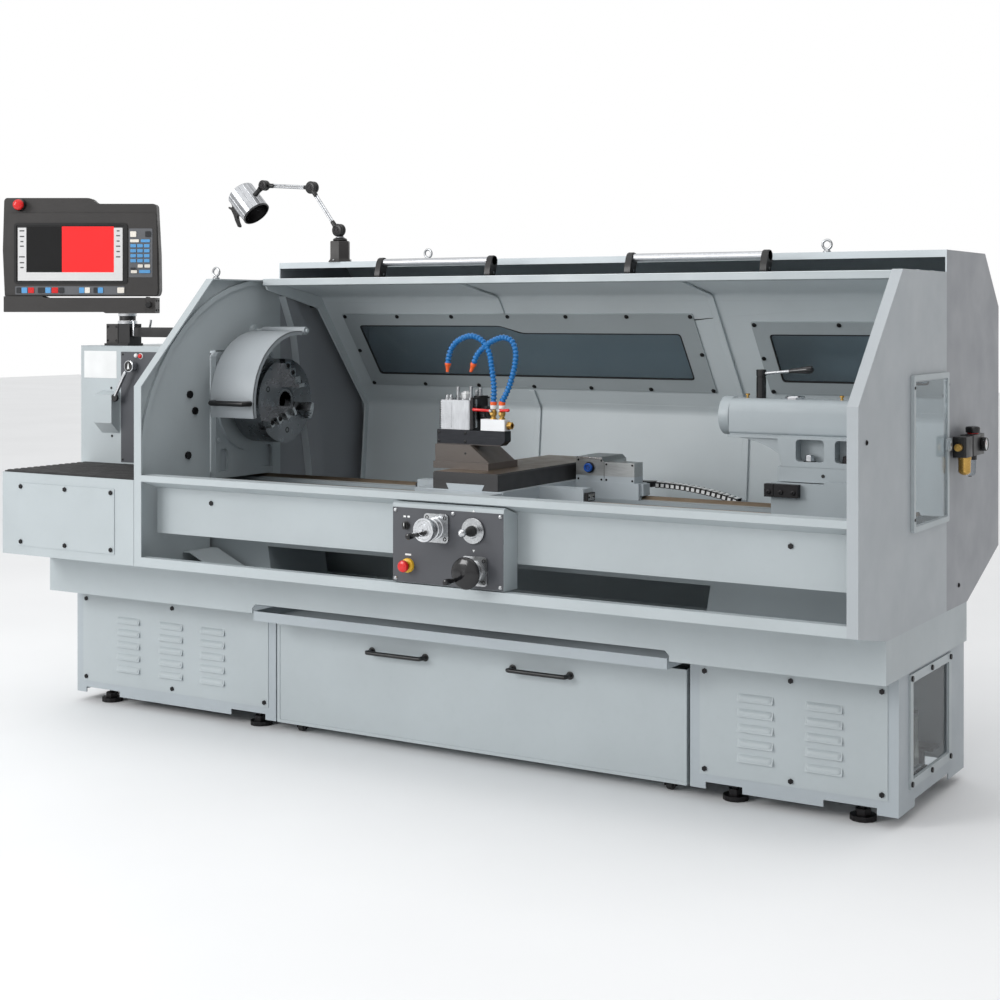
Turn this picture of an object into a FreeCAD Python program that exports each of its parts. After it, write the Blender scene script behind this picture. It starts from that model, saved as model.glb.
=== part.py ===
import FreeCAD, Part
import math
import os
import Sketcher

# The machine is laid out from three planes: X runs from the outer face of the left end plate towards
# the tailstock, Y from the front edges of the end plates towards the back, and Z up from the bottom
# edges of the pedestals.  Each finished piece is then placed in the frame of the whole machine, whose
# origin is on the floor, below the middle of everything.

SIZES = {
    # the whole machine
    "centre_across": 952.17,
    "centre_deep": 681.5,
    "foot_height": 35.0,
    "sheet": 5.0,
    # enclosure
    "enclosure_length": 2800.0,
    "plate_depth": 862.0,
    "plate_base": 617.0,
    "plate_knee": 1287.0,
    "plate_top_front": 406.0,
    "plate_top": 1695.0,
    "flange_width": 35.0,
    "cover_top": 1769.0,
    "cover_top_back": 1322.0,
    "cover_back": 1499.0,
    "cover_shoulder": 1583.0,
    "cover_hip": 719.0,
    "lip_top": 957.0,
    "lip_height": 23.0,
    "front_panel_y": 88.0,
    "front_panel_low": 735.0,
    "front_rail_top": 652.0,
    # tray and pedestals
    "tray_left": -696.0,
    "tray_right": 2798.0,
    "tray_front": 252.0,
    "tray_back": 1102.0,
    "tray_bottom": 436.0,
    "tray_top": 571.0,
    "tray_floor": 472.0,
    "pedestal_front": 400.0,
    "pedestal_back": 1100.0,
    "left_pedestal_start": -691.0,
    "left_pedestal_end": 351.0,
    "right_pedestal_start": 2085.0,
    "right_pedestal_end": 2789.0,
    "louvre_length": 124.0,
    "louvre_height": 26.0,
    "louvre_pitch": 49.0,
    "louvre_top": 328.0,
    "foot_radius": 43.0,
    # bed and headstock
    "bed_left": -380.0,
    "bed_right": 2740.0,
    "bed_front": 440.0,
    "bed_back": 790.0,
    "bed_bottom": 660.0,
    "way_flat": 893.0,
    "way_peak": 907.0,
    "front_way": 480.0,
    "rear_way": 750.0,
    "spindle_y": 630.0,
    "spindle_z": 1213.0,
    "spindle_radius": 60.0,
    "spindle_bore": 52.0,
    "head_face": 30.0,
    "head_top": 1400.0,
    "chuck_back": 78.0,
    "chuck_face": 215.0,
    "chuck_radius": 166.0,
    "jaw_width": 34.0,
    "guard_radius": 276.0,
    "guard_left": 62.0,
    "guard_right": 278.0,
    # change gear cover and headstock cover
    "end_cover_left": -690.0,
    "end_cover_top": 937.0,
    "head_cover_left": -731.0,
    "head_cover_front": 462.0,
    "head_cover_back": 1050.0,
    "head_cover_top": 1426.0,
    # door
    "track_radius": 742.0,
    "track_width": 20.0,
    "hinge_y": 684.0,
    "hinge_z": 1490.0,
    "door_left": 45.0,
    "door_right": 2758.0,
    "door_axis_y": 750.0,
    "door_axis_z": 955.0,
    # carriage
    "saddle_left": 1126.0,
    "saddle_right": 1486.0,
    "saddle_front": 200.0,
    "saddle_back": 800.0,
    "slide_back": 1000.0,
    "saddle_top": 953.0,
    "slide_left": 1203.0,
    "slide_right": 1464.0,
    "slide_top": 1013.0,
    "apron_left": 1173.0,
    "apron_right": 1609.0,
    "apron_bottom": 655.0,
    "apron_top": 926.0,
    "wheel_z": 846.0,
    "wheel_x": 1346.0,
    "low_wheel_z": 715.0,
    "low_wheel_x": 1502.0,
    "post_left": 1135.0,
    "post_right": 1277.0,
    "plate_low": 1097.0,
    "plate_high": 1148.0,
    # tailstock
    "tail_nose": 2107.0,
    "tail_end": 2660.0,
    "tail_base_left": 2348.0,
    "tail_split": 1009.0,
    "tail_base_top": 1060.0,
    "barrel_top": 1273.0,
    "quill_radius": 42.0,
    # drawers
    "tank_left": 359.0,
    "tank_right": 2073.0,
    "tank_top": 382.0,
    "drawer_left": 365.0,
    "drawer_right": 2072.0,
    "drawer_low": 409.0,
    "drawer_high": 445.0,
    # operator's pendant
    "column_x": -517.0,
    "column_y": 512.0,
    "pendant_turn": 31.2,
    # lamp
    "lamp_x": 285.0,
    "lamp_y": 900.0,
    "lamp_elbow_x": 148.0,
    "lamp_elbow_z": 2078.0,
    "lamp_wrist_x": -104.0,
    "lamp_wrist_z": 2097.0,
}

GAP = 0.3
RUNNING = 0.05

doc = FreeCAD.newDocument("TurningLathe")
sheet = doc.addObject("Spreadsheet::Sheet", "Sizes")


class Size:
    """A length that knows its value and the sheet formula that it comes from."""

    def __init__(self, value, formula):
        self.value = value
        self.formula = formula

    def __add__(self, other):
        other = as_size(other)
        return Size(self.value + other.value, f"({self.formula} + {other.formula})")

    def __radd__(self, other):
        return as_size(other) + self

    def __sub__(self, other):
        other = as_size(other)
        return Size(self.value - other.value, f"({self.formula} - {other.formula})")

    def __rsub__(self, other):
        return as_size(other) - self

    def __mul__(self, factor):
        factor = as_size(factor)
        return Size(self.value * factor.value, f"({self.formula} * {factor.formula})")

    def __rmul__(self, factor):
        return self * factor

    def __truediv__(self, divisor):
        divisor = as_size(divisor)
        return Size(self.value / divisor.value, f"({self.formula} / {divisor.formula})")

    def __neg__(self):
        return Size(-self.value, f"(0 - {self.formula})")


def as_size(number):
    if isinstance(number, Size):
        return number
    return Size(float(number), f"({float(number):.4f})")


def fill_sheet():
    """Write every driving dimension into its own cell, under its own alias."""
    sizes = {}
    for row, (alias, value) in enumerate(SIZES.items(), start=1):
        sheet.set(f"A{row}", alias.replace("_", " "))
        sheet.set(f"B{row}", str(value))
        sheet.setAlias(f"B{row}", alias)
        sizes[alias] = Size(value, f"Sizes.{alias}")
    doc.recompute()
    return type("Sizes", (), sizes)


s = fill_sheet()
nodes = []


def bind(thing, path, amount):
    thing.setExpression(path, as_size(amount).formula)


def bind_place(thing, x, y, z):
    for letter, amount in zip("xyz", (x, y, z)):
        bind(thing, f"Placement.Base.{letter}", amount)


def block(name, x, y, z):
    """A box between two planes along each axis."""
    box = doc.addObject("Part::Box", name)
    for side, (low, high) in zip(("Length", "Width", "Height"), (x, y, z)):
        bind(box, side, high - low)
    bind_place(box, x[0], y[0], z[0])
    return box


AXIS_TURNS = {
    "x": FreeCAD.Rotation(FreeCAD.Vector(0, 1, 0), FreeCAD.Vector(0, 0, 1), FreeCAD.Vector(1, 0, 0), "XYZ"),
    "y": FreeCAD.Rotation(FreeCAD.Vector(0, 0, 1), FreeCAD.Vector(1, 0, 0), FreeCAD.Vector(0, 1, 0), "XYZ"),
    "z": FreeCAD.Rotation(),
}


def flat_sided_bar(name, axis, start, sides, radius, length, first=0.0):
    """A regular prism, for nuts, hexagon heads, pads and knurled knobs."""
    bar = doc.addObject("Part::Prism", name)
    bar.Polygon = sides
    bind(bar, "Circumradius", radius)
    bind(bar, "Height", length)
    bar.Placement.Rotation = AXIS_TURNS[axis] * FreeCAD.Rotation(FreeCAD.Vector(0, 0, 1), first)
    bind_place(bar, *start)
    return bar


def bar_between(name, start, end, radius):
    """A round bar from one point to another, in any direction."""
    first = FreeCAD.Vector(*[as_size(amount).value for amount in start])
    last = FreeCAD.Vector(*[as_size(amount).value for amount in end])
    bar = doc.addObject("Part::Prism", name)
    bar.Polygon = 10
    bind(bar, "Circumradius", radius)
    bar.Height = (last - first).Length
    bar.Placement.Rotation = FreeCAD.Rotation(FreeCAD.Vector(0, 0, 1), last - first)
    bind_place(bar, *start)
    return bar


def flat_face(*corners):
    return Part.Face(Part.makePolygon([*corners, corners[0]]))


def hole_around(radius, sides):
    """The corner radius of a faceted hole whose flats clear a round pin."""
    return (radius + RUNNING) / math.cos(math.pi / sides)


PLANES = {"x": "YZ_Plane", "y": "XZ_Plane", "z": "XY_Plane"}


def outline_sketch(body, name, plane, loops):
    """A sketch of closed outlines whose every corner is held by the sheet."""
    sketch = body.newObject("Sketcher::SketchObject", name)
    origin_plane = [item for item in body.Origin.OriginFeatures if item.Role == plane][0]
    sketch.AttachmentSupport = [(origin_plane, "")]
    sketch.MapMode = "FlatFace"
    for loop in loops:
        corners = [(as_size(across), as_size(up)) for across, up in loop]
        points = [FreeCAD.Vector(across.value, up.value, 0) for across, up in corners]
        first = sketch.GeometryCount
        count = len(points)
        lines = [Part.LineSegment(points[i], points[(i + 1) % count]) for i in range(count)]
        sketch.addGeometry(lines, False)
        joints = [Sketcher.Constraint("Coincident", first + i, 2, first + (i + 1) % count, 1)
                  for i in range(count)]
        sketch.addConstraint(joints)
        for i, (across, up) in enumerate(corners):
            for kind, amount in (("DistanceX", across), ("DistanceY", up)):
                number = sketch.addConstraint(Sketcher.Constraint(kind, -1, 1, first + i, 1, amount.value))
                sketch.renameConstraint(number, f"corner{first + i}{kind[-1]}")
                bind(sketch, f"Constraints.corner{first + i}{kind[-1]}", amount)
    return sketch


def slab(name, axis, loops, start, end):
    """One or more closed outlines, drawn square to an axis, given thickness along it."""
    body = doc.addObject("PartDesign::Body", name)
    sketch = outline_sketch(body, name + "_outline", PLANES[axis], loops)
    pad = body.newObject("PartDesign::Pad", name + "_pad")
    pad.Profile = sketch
    bind(pad, "Length", end - start)
    offset = -end if axis == "y" else start
    bind(sketch, "AttachmentOffset.Base.z", offset)
    sketch.Visibility = False
    return body


def turning(name, axis, centre, profile):
    """A profile of (radius, distance along the axis) turned into a solid of revolution."""
    body = doc.addObject("PartDesign::Body", name)
    sketch = outline_sketch(body, name + "_profile", "XZ_Plane", [profile])
    turn = body.newObject("PartDesign::Revolution", name + "_turn")
    turn.Profile = sketch
    turn.ReferenceAxis = (sketch, ["V_Axis"])
    turn.Angle = 360.0
    sketch.Visibility = False
    body.Placement.Rotation = AXIS_TURNS[axis]
    bind_place(body, *centre)
    return body


def fuse(name, *pieces):
    joined = doc.addObject("Part::MultiFuse", name)
    joined.Shapes = list(pieces)
    joined.Refine = True
    return joined


def cut(name, base, *tools):
    tool = tools[0]
    if len(tools) > 1:
        tool = doc.addObject("Part::Compound", name + "_tools")
        tool.Links = list(tools)
    result = doc.addObject("Part::Cut", name)
    result.Base = base
    result.Tool = tool
    return result


def node(label, *pieces):
    """A finished sub-part, placed in the frame of the whole machine."""
    part = doc.addObject("Part::Compound", label)
    part.Label = label
    part.Links = list(pieces)
    bind_place(part, -s.centre_across, -s.centre_deep, s.foot_height)
    nodes.append(part)
    return part


def inset(corners, distance):
    """The outline that lies a distance inside a clockwise or anticlockwise outline."""
    values = [(as_size(a).value, as_size(b).value) for a, b in corners]
    count = len(values)
    area = sum(values[i][0] * values[(i + 1) % count][1] - values[(i + 1) % count][0] * values[i][1]
               for i in range(count))
    side = 1.0 if area > 0 else -1.0
    result = []
    for i in range(count):
        before, here, after = values[i - 1], values[i], values[(i + 1) % count]
        normals = []
        for start, end in ((before, here), (here, after)):
            along = (end[0] - start[0], end[1] - start[1])
            length = math.hypot(*along)
            normals.append((-along[1] / length * side, along[0] / length * side))
        total = (normals[0][0] + normals[1][0], normals[0][1] + normals[1][1])
        scale = 1.0 / (1.0 + normals[0][0] * normals[1][0] + normals[0][1] * normals[1][1])
        move = (total[0] * scale * distance, total[1] * scale * distance)
        result.append((corners[i][0] + move[0], corners[i][1] + move[1]))
    return result


def bent_sheet(points, thickness):
    """The closed outline of a folded sheet that runs through points, thickened to their left."""
    values = [(as_size(a).value, as_size(b).value) for a, b in points]
    last = len(values) - 1
    normals = []
    for start, end in zip(values, values[1:]):
        along = (end[0] - start[0], end[1] - start[1])
        length = math.hypot(*along)
        normals.append((-along[1] / length, along[0] / length))
    far_side = []
    for i, (across, up) in enumerate(points):
        pair = (normals[max(i - 1, 0)], normals[min(i, last - 1)])
        total = (pair[0][0] + pair[1][0], pair[0][1] + pair[1][1])
        scale = 1.0 / (1.0 + pair[0][0] * pair[1][0] + pair[0][1] * pair[1][1])
        far_side.append((across + total[0] * scale * thickness, up + total[1] * scale * thickness))
    return list(points) + far_side[::-1]


def rectangle(across, up):
    return [(across[0], up[0]), (across[1], up[0]), (across[1], up[1]), (across[0], up[1])]


def panel_screws(name, axis, places, radius, length):
    """Hexagon socket heads, all alike, at a list of places."""
    return [flat_sided_bar(f"{name}_{i}", axis, place, 6, radius, length)
            for i, place in enumerate(places, 1)]


# Pedestals: two folded steel boxes, open below, with notches in their skirts for the feet.
foot_notches = {"left": ((-640, -455), (130, 300)), "right": ((2140, 2270), (2545, 2720))}


def pedestal(side, start, end):
    outer = rectangle((start, end), (s.pedestal_front, s.pedestal_back))
    walls = slab(f"{side}_walls", "z", [outer, inset(outer, s.sheet)], as_size(0), s.tray_bottom - s.sheet)
    lid = slab(f"{side}_lid", "z", [outer], s.tray_bottom - s.sheet, s.tray_bottom)
    pad_area = inset(outer, 55)
    pad = slab(f"{side}_pad", "z", [pad_area], s.tray_bottom, s.tray_floor)
    notches = [block(f"{side}_notch_{i}", pair, (s.pedestal_front - 10, s.pedestal_back + 10), (-5, 22))
               for i, pair in enumerate(foot_notches[side], 1)]
    end_notch = block(f"{side}_end_notch", (start - 10, end + 10), (560, 920), (-5, 22))
    return walls, lid, pad, notches + [end_notch]


walls, lid, pad, notches = pedestal("left", s.left_pedestal_start, s.left_pedestal_end)
node("left_pedestal", cut("left_stand", fuse("left_shell", walls, lid, pad), *notches))

window_y = (500, 938)
window_z = (65, 425)
walls, lid, pad, notches = pedestal("right", s.right_pedestal_start, s.right_pedestal_end)
window_hole = block("window_hole", (s.right_pedestal_end - 20, s.right_pedestal_end + 20),
                    (window_y[0] + 30, window_y[1] - 30), (window_z[0] + 30, window_z[1] - 30))
node("right_pedestal", cut("right_stand", fuse("right_shell", walls, lid, pad), window_hole, *notches))

window_edge = rectangle(window_y, window_z)
window_frame = slab("window_frame", "x", [window_edge, inset(window_edge, 28)], s.right_pedestal_end,
                    s.right_pedestal_end + 6)

# Oil lubricator behind the pedestal window.
pump_x = s.right_pedestal_end - 190
node("lubricator",
     block("oil_tank", (pump_x, pump_x + 130), (600, 800), (70, 250)),
     block("oil_shelf", (pump_x - 40, s.right_pedestal_end - 5), (590, 810), (64, 70)),
     flat_sided_bar("oil_cap", "z", (pump_x + 65, 650, 250), 12, 26, 55),
     flat_sided_bar("oil_motor", "z", (pump_x + 65, 745, 250), 12, 42, 80))

# Cover plates with rows of pressed louvres.
cover_plates = []
for side, columns, area in (
        ("left", (-466, -239, -24), (-655, 315)),
        ("right", (2254, 2486), (2120, 2755))):
    plate = slab(f"{side}_plate", "y", [rectangle(area, (48, 404))], s.pedestal_front - 2.5, s.pedestal_front)
    cover_plates.append(plate)
    for column, left in enumerate(columns, 1):
        louvre_foot = s.louvre_top - s.louvre_height
        hood = [(s.pedestal_front - 2.5, s.louvre_top), (s.pedestal_front - 2.5, louvre_foot),
                (s.pedestal_front - 12, louvre_foot)]
        for row in range(5):
            drop = s.louvre_pitch * row
            cover_plates.append(slab(f"{side}_louvre_{column}_{row + 1}", "x",
                                     [[(y, z - drop) for y, z in hood]], left, left + s.louvre_length))
access = slab("access_plate", "y", [rectangle((-606, -98), (653, 898))], as_size(-3), as_size(0))
node("cover_panels", *cover_plates, access, window_frame)

screw_places = []
for left, right in ((-655, 315), (2120, 2755)):
    for x in (left + 18, (left + right) / 2, right - 18):
        for z in (66, 386):
            screw_places.append((x, s.pedestal_front - 7.5, z))
for x in (-590, -353, -114):
    for z in (669, 884):
        screw_places.append((x, as_size(-8), z))
for x in (300, 2560):
    screw_places.append((x, s.front_panel_y - 5, 860))
plate_screws = panel_screws("cover_screw", "y", screw_places, 9, 5)
guide_screws = [flat_sided_bar(f"plate_screw_{i}", "x", (s.sheet, y, z), 8, 15, 9)
                for i, (y, z) in enumerate(((300, 1245), (330, 1180), (290, 1010)), 1)]
window_screws = [flat_sided_bar(f"window_screw_{i}", "x", (s.right_pedestal_end + 6, y, z), 8, 9, 5)
                 for i, (y, z) in enumerate([(y, z) for y in (514, 719, 924) for z in (79, 411)], 1)]
node("cover_screws", *plate_screws, *guide_screws, *window_screws)

# Levelling feet: a wide pad, a stud and a lock nut under each corner of the pedestals.
feet = []
for number, (x, y) in enumerate([(x, y) for x in (-548, 236, 2224, 2657) for y in (455, 1045)], 1):
    feet.append(flat_sided_bar(f"foot_pad_{number}", "z", (x, y, -s.foot_height), 12, s.foot_radius, 16))
    feet.append(flat_sided_bar(f"foot_nut_{number}", "z", (x, y, 16 - s.foot_height), 6, 26, 20))
    feet.append(flat_sided_bar(f"foot_stud_{number}", "z", (x, y, 36 - s.foot_height), 6, 12, 62))
    feet.append(block(f"foot_bracket_{number}", (x - 50, x + 50), (y - 40, y + 40), (63, 75)))
node("levelling_feet", *feet)

# Drip tray across both pedestals, with an opening over the chip drawer.
tray_outer = rectangle((s.tray_left, s.tray_right), (s.tray_front, s.tray_back))
tray_inner = inset(tray_outer, 6)
chip_opening = rectangle((400, 2040), (300, 1000))
tray_rim = slab("tray_rim", "z", [tray_outer, tray_inner], s.tray_bottom, s.tray_top)
tray_sheet = slab("tray_sheet", "z", [tray_inner, chip_opening], s.tray_floor, s.tray_floor + 6)
drawer_recess = slab("drawer_recess", "y", [[(357, 430), (2079, 430), (2079, 455), (2064, 470), (372, 470),
                                             (357, 455)]], s.tray_front - 5, s.tray_front + 6.5)
chute = slab("chute", "y", [bent_sheet([(398, 482), (40, 640), (8, 640)], 3)], as_size(262), as_size(424))

front_slope = slab("front_slope", "x", [bent_sheet([(262, 600), (262, 571), (300, 482)], 3)], as_size(404),
                   as_size(2036))
rear_slope = slab("rear_slope", "x", [bent_sheet([(995, 482), (880, 640), (866, 760)], 3)], as_size(8),
                  as_size(2792))
node("drip_tray", cut("tray_body", fuse("tray_walls", tray_rim, tray_sheet), drawer_recess), chute,
     front_slope, rear_slope)

# End plates: one folded sheet each, with a wide flange along the front outline.
plate_front = [(0, s.plate_base), (0, s.plate_knee), (s.plate_top_front, s.plate_top)]
plate_outline = plate_front + [(s.plate_depth, s.plate_top), (s.plate_depth, s.tray_top)]
head_opening = [(790, s.tray_top), (790, 1412), (421, 1412), (421, s.tray_top)]
plate_foot = [(s.tray_front, s.tray_top)]
flange_path = plate_foot + plate_front + [(s.plate_depth, s.plate_top)]
flange_band = bent_sheet(flange_path[::-1], s.sheet)
left_face = slab("left_face", "x", [plate_outline + head_opening + plate_foot], as_size(0), s.sheet)
left_flange = slab("left_flange", "x", [flange_band], s.sheet, s.flange_width)
door_track = []
track_first = 2
track_sweep = 178
track_steps = 22
for radius in (s.track_radius, s.track_radius - s.track_width):
    angles = [math.radians(track_first + track_sweep * i / track_steps) for i in range(track_steps + 1)]
    arc = [(s.door_axis_y + radius * math.cos(angle), s.door_axis_z + radius * math.sin(angle))
           for angle in angles]
    door_track += arc[::-1] if door_track else arc
left_track = slab("left_track", "x", [door_track], s.sheet, s.sheet + 12)
guard_boss = flat_sided_bar("guard_boss", "x", (s.sheet, s.hinge_y, s.hinge_z), 12, 22, 20)
guard_pin = flat_sided_bar("guard_pin", "x", (s.sheet + 20, s.hinge_y, s.hinge_z), 16, 8, 262)
node("left_end_plate", fuse("left_plate", left_face, left_flange), left_track, guard_boss, guard_pin)

side_opening = rectangle((500, 840), (890, 1346))
right_face = slab("right_face", "x", [plate_outline + plate_foot, side_opening],
                  s.enclosure_length - s.sheet, s.enclosure_length)
right_flange = slab("right_flange", "x", [flange_band], s.enclosure_length - s.flange_width,
                    s.enclosure_length - s.sheet)
right_track = slab("right_track", "x", [door_track], s.enclosure_length - s.sheet - 12,
                   s.enclosure_length - s.sheet)
node("right_end_plate", fuse("right_plate", right_face, right_flange), right_track)

# Front guard: a rail at the foot, and above the slot for the apron a panel with a broad lip.
rail_path = [(s.tray_front, s.tray_top), (0, s.plate_base), (0, s.front_rail_top), (34, s.front_rail_top)]
lip_path = [(s.front_panel_y, s.front_panel_low), (s.front_panel_y, 905), (0, s.lip_top - s.lip_height),
            (0, s.lip_top), (64, s.lip_top), (64, s.lip_top - 14)]
node("front_guard",
     slab("guard_rail", "x", [bent_sheet(rail_path[::-1], s.sheet)], s.flange_width,
          s.enclosure_length - s.flange_width),
     slab("guard_lip", "x", [bent_sheet(lip_path[::-1], s.sheet)], s.flange_width,
          s.enclosure_length - s.flange_width))

# Rear cover: a hood that the door swings back into.
hood_path = [(s.plate_depth, s.cover_top - 24), (s.plate_depth, s.cover_top), (s.cover_top_back, s.cover_top),
             (s.cover_back, s.cover_shoulder), (s.cover_back, s.cover_hip), (s.tray_back, s.tray_top)]
hood_sheet = slab("hood_sheet", "x", [bent_sheet(hood_path[::-1], s.sheet)], s.sheet,
                  s.enclosure_length - s.sheet)
hood_side = hood_path[1:] + [(s.plate_depth, s.tray_top)]
hood_left = slab("hood_left", "x", [hood_side], as_size(0), s.sheet)
hood_right = slab("hood_right", "x", [hood_side], s.enclosure_length - s.sheet, s.enclosure_length)
channel_low = slab("channel_low", "x", [[(925, 1470), (1018, 1470), (1130, 870), (1035, 870)]], s.sheet,
                   as_size(40))
channel_high = slab("channel_high", "x", [[(852, 1630), (914, 1630), (1018, 1470), (925, 1470)]], s.sheet,
                    as_size(40))
node("rear_cover", fuse("hood", hood_sheet, hood_left, hood_right), channel_low, channel_high)

eyes = []
for number, (x, y, z) in enumerate(((17, 445, 1695), (717, 900, 1769), (2371, 900, 1769)), 1):
    ring = slab(f"eye_ring_{number}", "y", [
        [(x + radius * math.cos(math.radians(a)), z + 24 + radius * math.sin(math.radians(a)))
         for a in range(0, 360, 45)] for radius in (20, 12)
    ], as_size(y - 4), as_size(y + 4))
    eyes.append(fuse(f"eye_{number}", flat_sided_bar(f"eye_foot_{number}", "z", (x, y, z), 6, 14, 8), ring))
node("lifting_eyes", *eyes)

# Bed: a casting on two legs, with a prismatic way at the front and another at the back.
way = 22


def way_section(centre):
    return [(centre - way, s.way_flat), (centre - 5, s.way_peak), (centre + 5, s.way_peak),
            (centre + way, s.way_flat)]


bed_section = ([(s.bed_front, s.bed_bottom), (s.bed_front, s.way_flat)] + way_section(s.front_way)
               + [(530, s.way_flat), (530, 850), (562, 820), (668, 820), (700, 850), (700, s.way_flat)]
               + way_section(s.rear_way) + [(s.bed_back, s.way_flat), (s.bed_back, s.bed_bottom)])
bed_beam = slab("bed_beam", "x", [bed_section], s.bed_left, s.bed_right)
bed_legs = [slab(f"bed_leg_{i}", "y", [[(a, s.tray_floor + 6), (b, s.tray_floor + 6), (b - 30, s.bed_bottom),
                                        (a + 30, s.bed_bottom)]], s.bed_front, s.bed_back)
            for i, (a, b) in enumerate(((s.bed_left, 310), (2110, s.bed_right)), 1)]
chip_windows = [slab(f"chip_window_{i}", "x", [[(430, 690), (430, 810), (500, 830), (500, 690)]],
                     as_size(420 + 420 * i), as_size(690 + 420 * i)) for i in range(4)]
node("bed", cut("bed_casting", fuse("bed_body", bed_beam, *bed_legs), *chip_windows))

# Headstock casting, with the spindle bore through it and a nose plate in the opening of the end plate.
body_outline = [(-420, 908), (-2, 908), (-2, 1380), (-30, s.head_top + 8), (-390, s.head_top + 8),
                (-420, 1380)]
head_body = slab("head_body", "y", [body_outline], as_size(480), as_size(783))
nose_outline = [(428, 908), (783, 908), (783, 1390), (765, 1408), (446, 1408), (428, 1390)]
head_nose = slab("head_nose", "x", [nose_outline], as_size(-2), s.head_face)
face_slots = [slab(f"face_slot_{i}", "x", [[(a, 935), (b, 935), (b, 1012), (b - 12, 1024), (a + 12, 1024),
                                             (a, 1012)]], s.head_face - 14, s.head_face + 1)
              for i, (a, b) in enumerate(((446, 502), (715, 776)), 1)]
spindle_hole = flat_sided_bar("spindle_hole", "x", (-430, s.spindle_y, s.spindle_z), 24,
                              hole_around(s.spindle_radius, 24), 480)
nose_cap = flat_sided_bar("nose_cap", "x", (s.head_face, s.spindle_y, s.spindle_z), 28, 205, 14)
nose_bore = flat_sided_bar("nose_bore", "x", (as_size(0), s.spindle_y, s.spindle_z), 24, 100, 90)
head_screws = [flat_sided_bar(f"head_screw_{i}", "x", (s.head_face, y, z), 6, 11, 8)
               for i, (y, z) in enumerate(((445, 1340), (768, 1388), (445, 1060), (773, 1046)), 1)]
node("headstock", cut("head_casting", fuse("head_solid", head_body, head_nose), spindle_hole, *face_slots),
     cut("nose_ring", nose_cap, nose_bore), *head_screws)

# Change gear cover under the headstock cover, and the oil mat on its top.
end_cover_path = [(s.tray_front, s.tray_top), (0, s.plate_base), (0, s.end_cover_top),
                  (s.tray_back - 2, s.end_cover_top), (s.tray_back - 2, s.tray_top)]
end_cover_band = slab("end_cover_band", "x", [bent_sheet(end_cover_path[::-1], s.sheet)], s.end_cover_left,
                      as_size(-2))
end_cover_side = slab("end_cover_side", "x", [end_cover_path], s.end_cover_left - s.sheet, s.end_cover_left)
head_gap = block("head_gap", (-430, 5), (472, 793), (s.end_cover_top - 20, s.end_cover_top + 20))
node("end_cover", cut("end_box", fuse("end_shell", end_cover_band, end_cover_side), head_gap))
mat = slab("mat", "x", [[(6, s.end_cover_top), (452, s.end_cover_top), (452, s.end_cover_top + 5),
                         (6, s.end_cover_top + 5)]], s.end_cover_left + 2, as_size(-8))
rib_pitch = 34
mat_ribs = []
for i in range(13):
    rib_front = 14 + rib_pitch * i
    rib = [(rib_front, s.end_cover_top + 5), (rib_front + 20, s.end_cover_top + 5),
           (rib_front + 17, s.end_cover_top + 8), (rib_front + 3, s.end_cover_top + 8)]
    mat_ribs.append(slab(f"mat_rib_{i}", "x", [rib], s.end_cover_left + 6, as_size(-12)))
node("rubber_mat", fuse("ribbed_mat", mat, *mat_ribs))

# Headstock cover: a folded hood with a dark front panel, a sloped hood over the cable entry and a lamp.
cover_face = rectangle((s.head_cover_left, as_size(-2)), (s.end_cover_top, s.head_cover_top))
cover_path = [(-2, s.head_cover_top), (s.head_cover_left, s.head_cover_top),
              (s.head_cover_left, s.end_cover_top)]
cover_band = slab("cover_band", "y", [bent_sheet(cover_path, s.sheet)], s.head_cover_front + 4,
                  s.head_cover_back)
cover_front = slab("cover_front", "y", [cover_face], s.head_cover_front, s.head_cover_front + 4)
cover_rear = slab("cover_rear", "y", [cover_face], s.head_cover_back, s.head_cover_back + 4)
entry_hood = slab("entry_hood", "x", [[(s.head_cover_front, 1066), (s.head_cover_front - 46, 1110),
                                       (s.head_cover_front - 46, 1225), (s.head_cover_front, 1240)]],
                  as_size(-612), as_size(-516))
node("headstock_cover", fuse("cover_shell", cover_band, cover_front, cover_rear), entry_hood)
dark_panel = slab("dark_panel", "y", [[(-504, s.end_cover_top + 12), (-12, s.end_cover_top + 12), (-12, 1402),
                                       (-504, 1402)]], s.head_cover_front - 3, s.head_cover_front)
panel_lamp = flat_sided_bar("panel_lamp", "y", (-394, s.head_cover_front - 15, 1385), 12, 9, 12)
node("headstock_panel", dark_panel, panel_lamp)

# Spindle with its bore, flange and rear bush; the chuck screws to the flange.
centre_line = (as_size(0), s.spindle_y, s.spindle_z)
spindle_start = (-500, s.spindle_y, s.spindle_z)
spindle_bar = flat_sided_bar("spindle_bar", "x", spindle_start, 24, s.spindle_radius, s.chuck_back + 500)
bar_bore = flat_sided_bar("bar_bore", "x", spindle_start, 16, s.spindle_bore / 2, 600)
node("spindle", cut("hollow_spindle", spindle_bar, bar_bore))
chuck_profile = [(36, s.chuck_back), (s.chuck_radius, s.chuck_back), (s.chuck_radius, s.chuck_face),
                 (36, s.chuck_face)]
chuck_body = turning("chuck_body", "x", centre_line, chuck_profile)
jaw_angles = (96.0, 216.0, 336.0)
jaw_slots = []
for number, angle in enumerate(jaw_angles, 1):
    slot = slab(f"jaw_slot_{number}", "x", [rectangle((20, s.chuck_radius + 5), (-s.jaw_width / 2 - GAP,
                                                                                 s.jaw_width / 2 + GAP))],
                s.chuck_face - 30, s.chuck_face + 1)
    slot.Placement = FreeCAD.Placement(FreeCAD.Vector(0, s.spindle_y.value, s.spindle_z.value),
                                       FreeCAD.Rotation(FreeCAD.Vector(1, 0, 0), angle))
    jaw_slots.append(slot)
node("chuck", cut("chuck_slotted", chuck_body, *jaw_slots))
jaw_steps = [(56, -29), (152, -29), (152, 26), (128, 26), (128, 48), (98, 48), (98, 70), (70, 70), (70, 88),
             (56, 88)]
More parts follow.
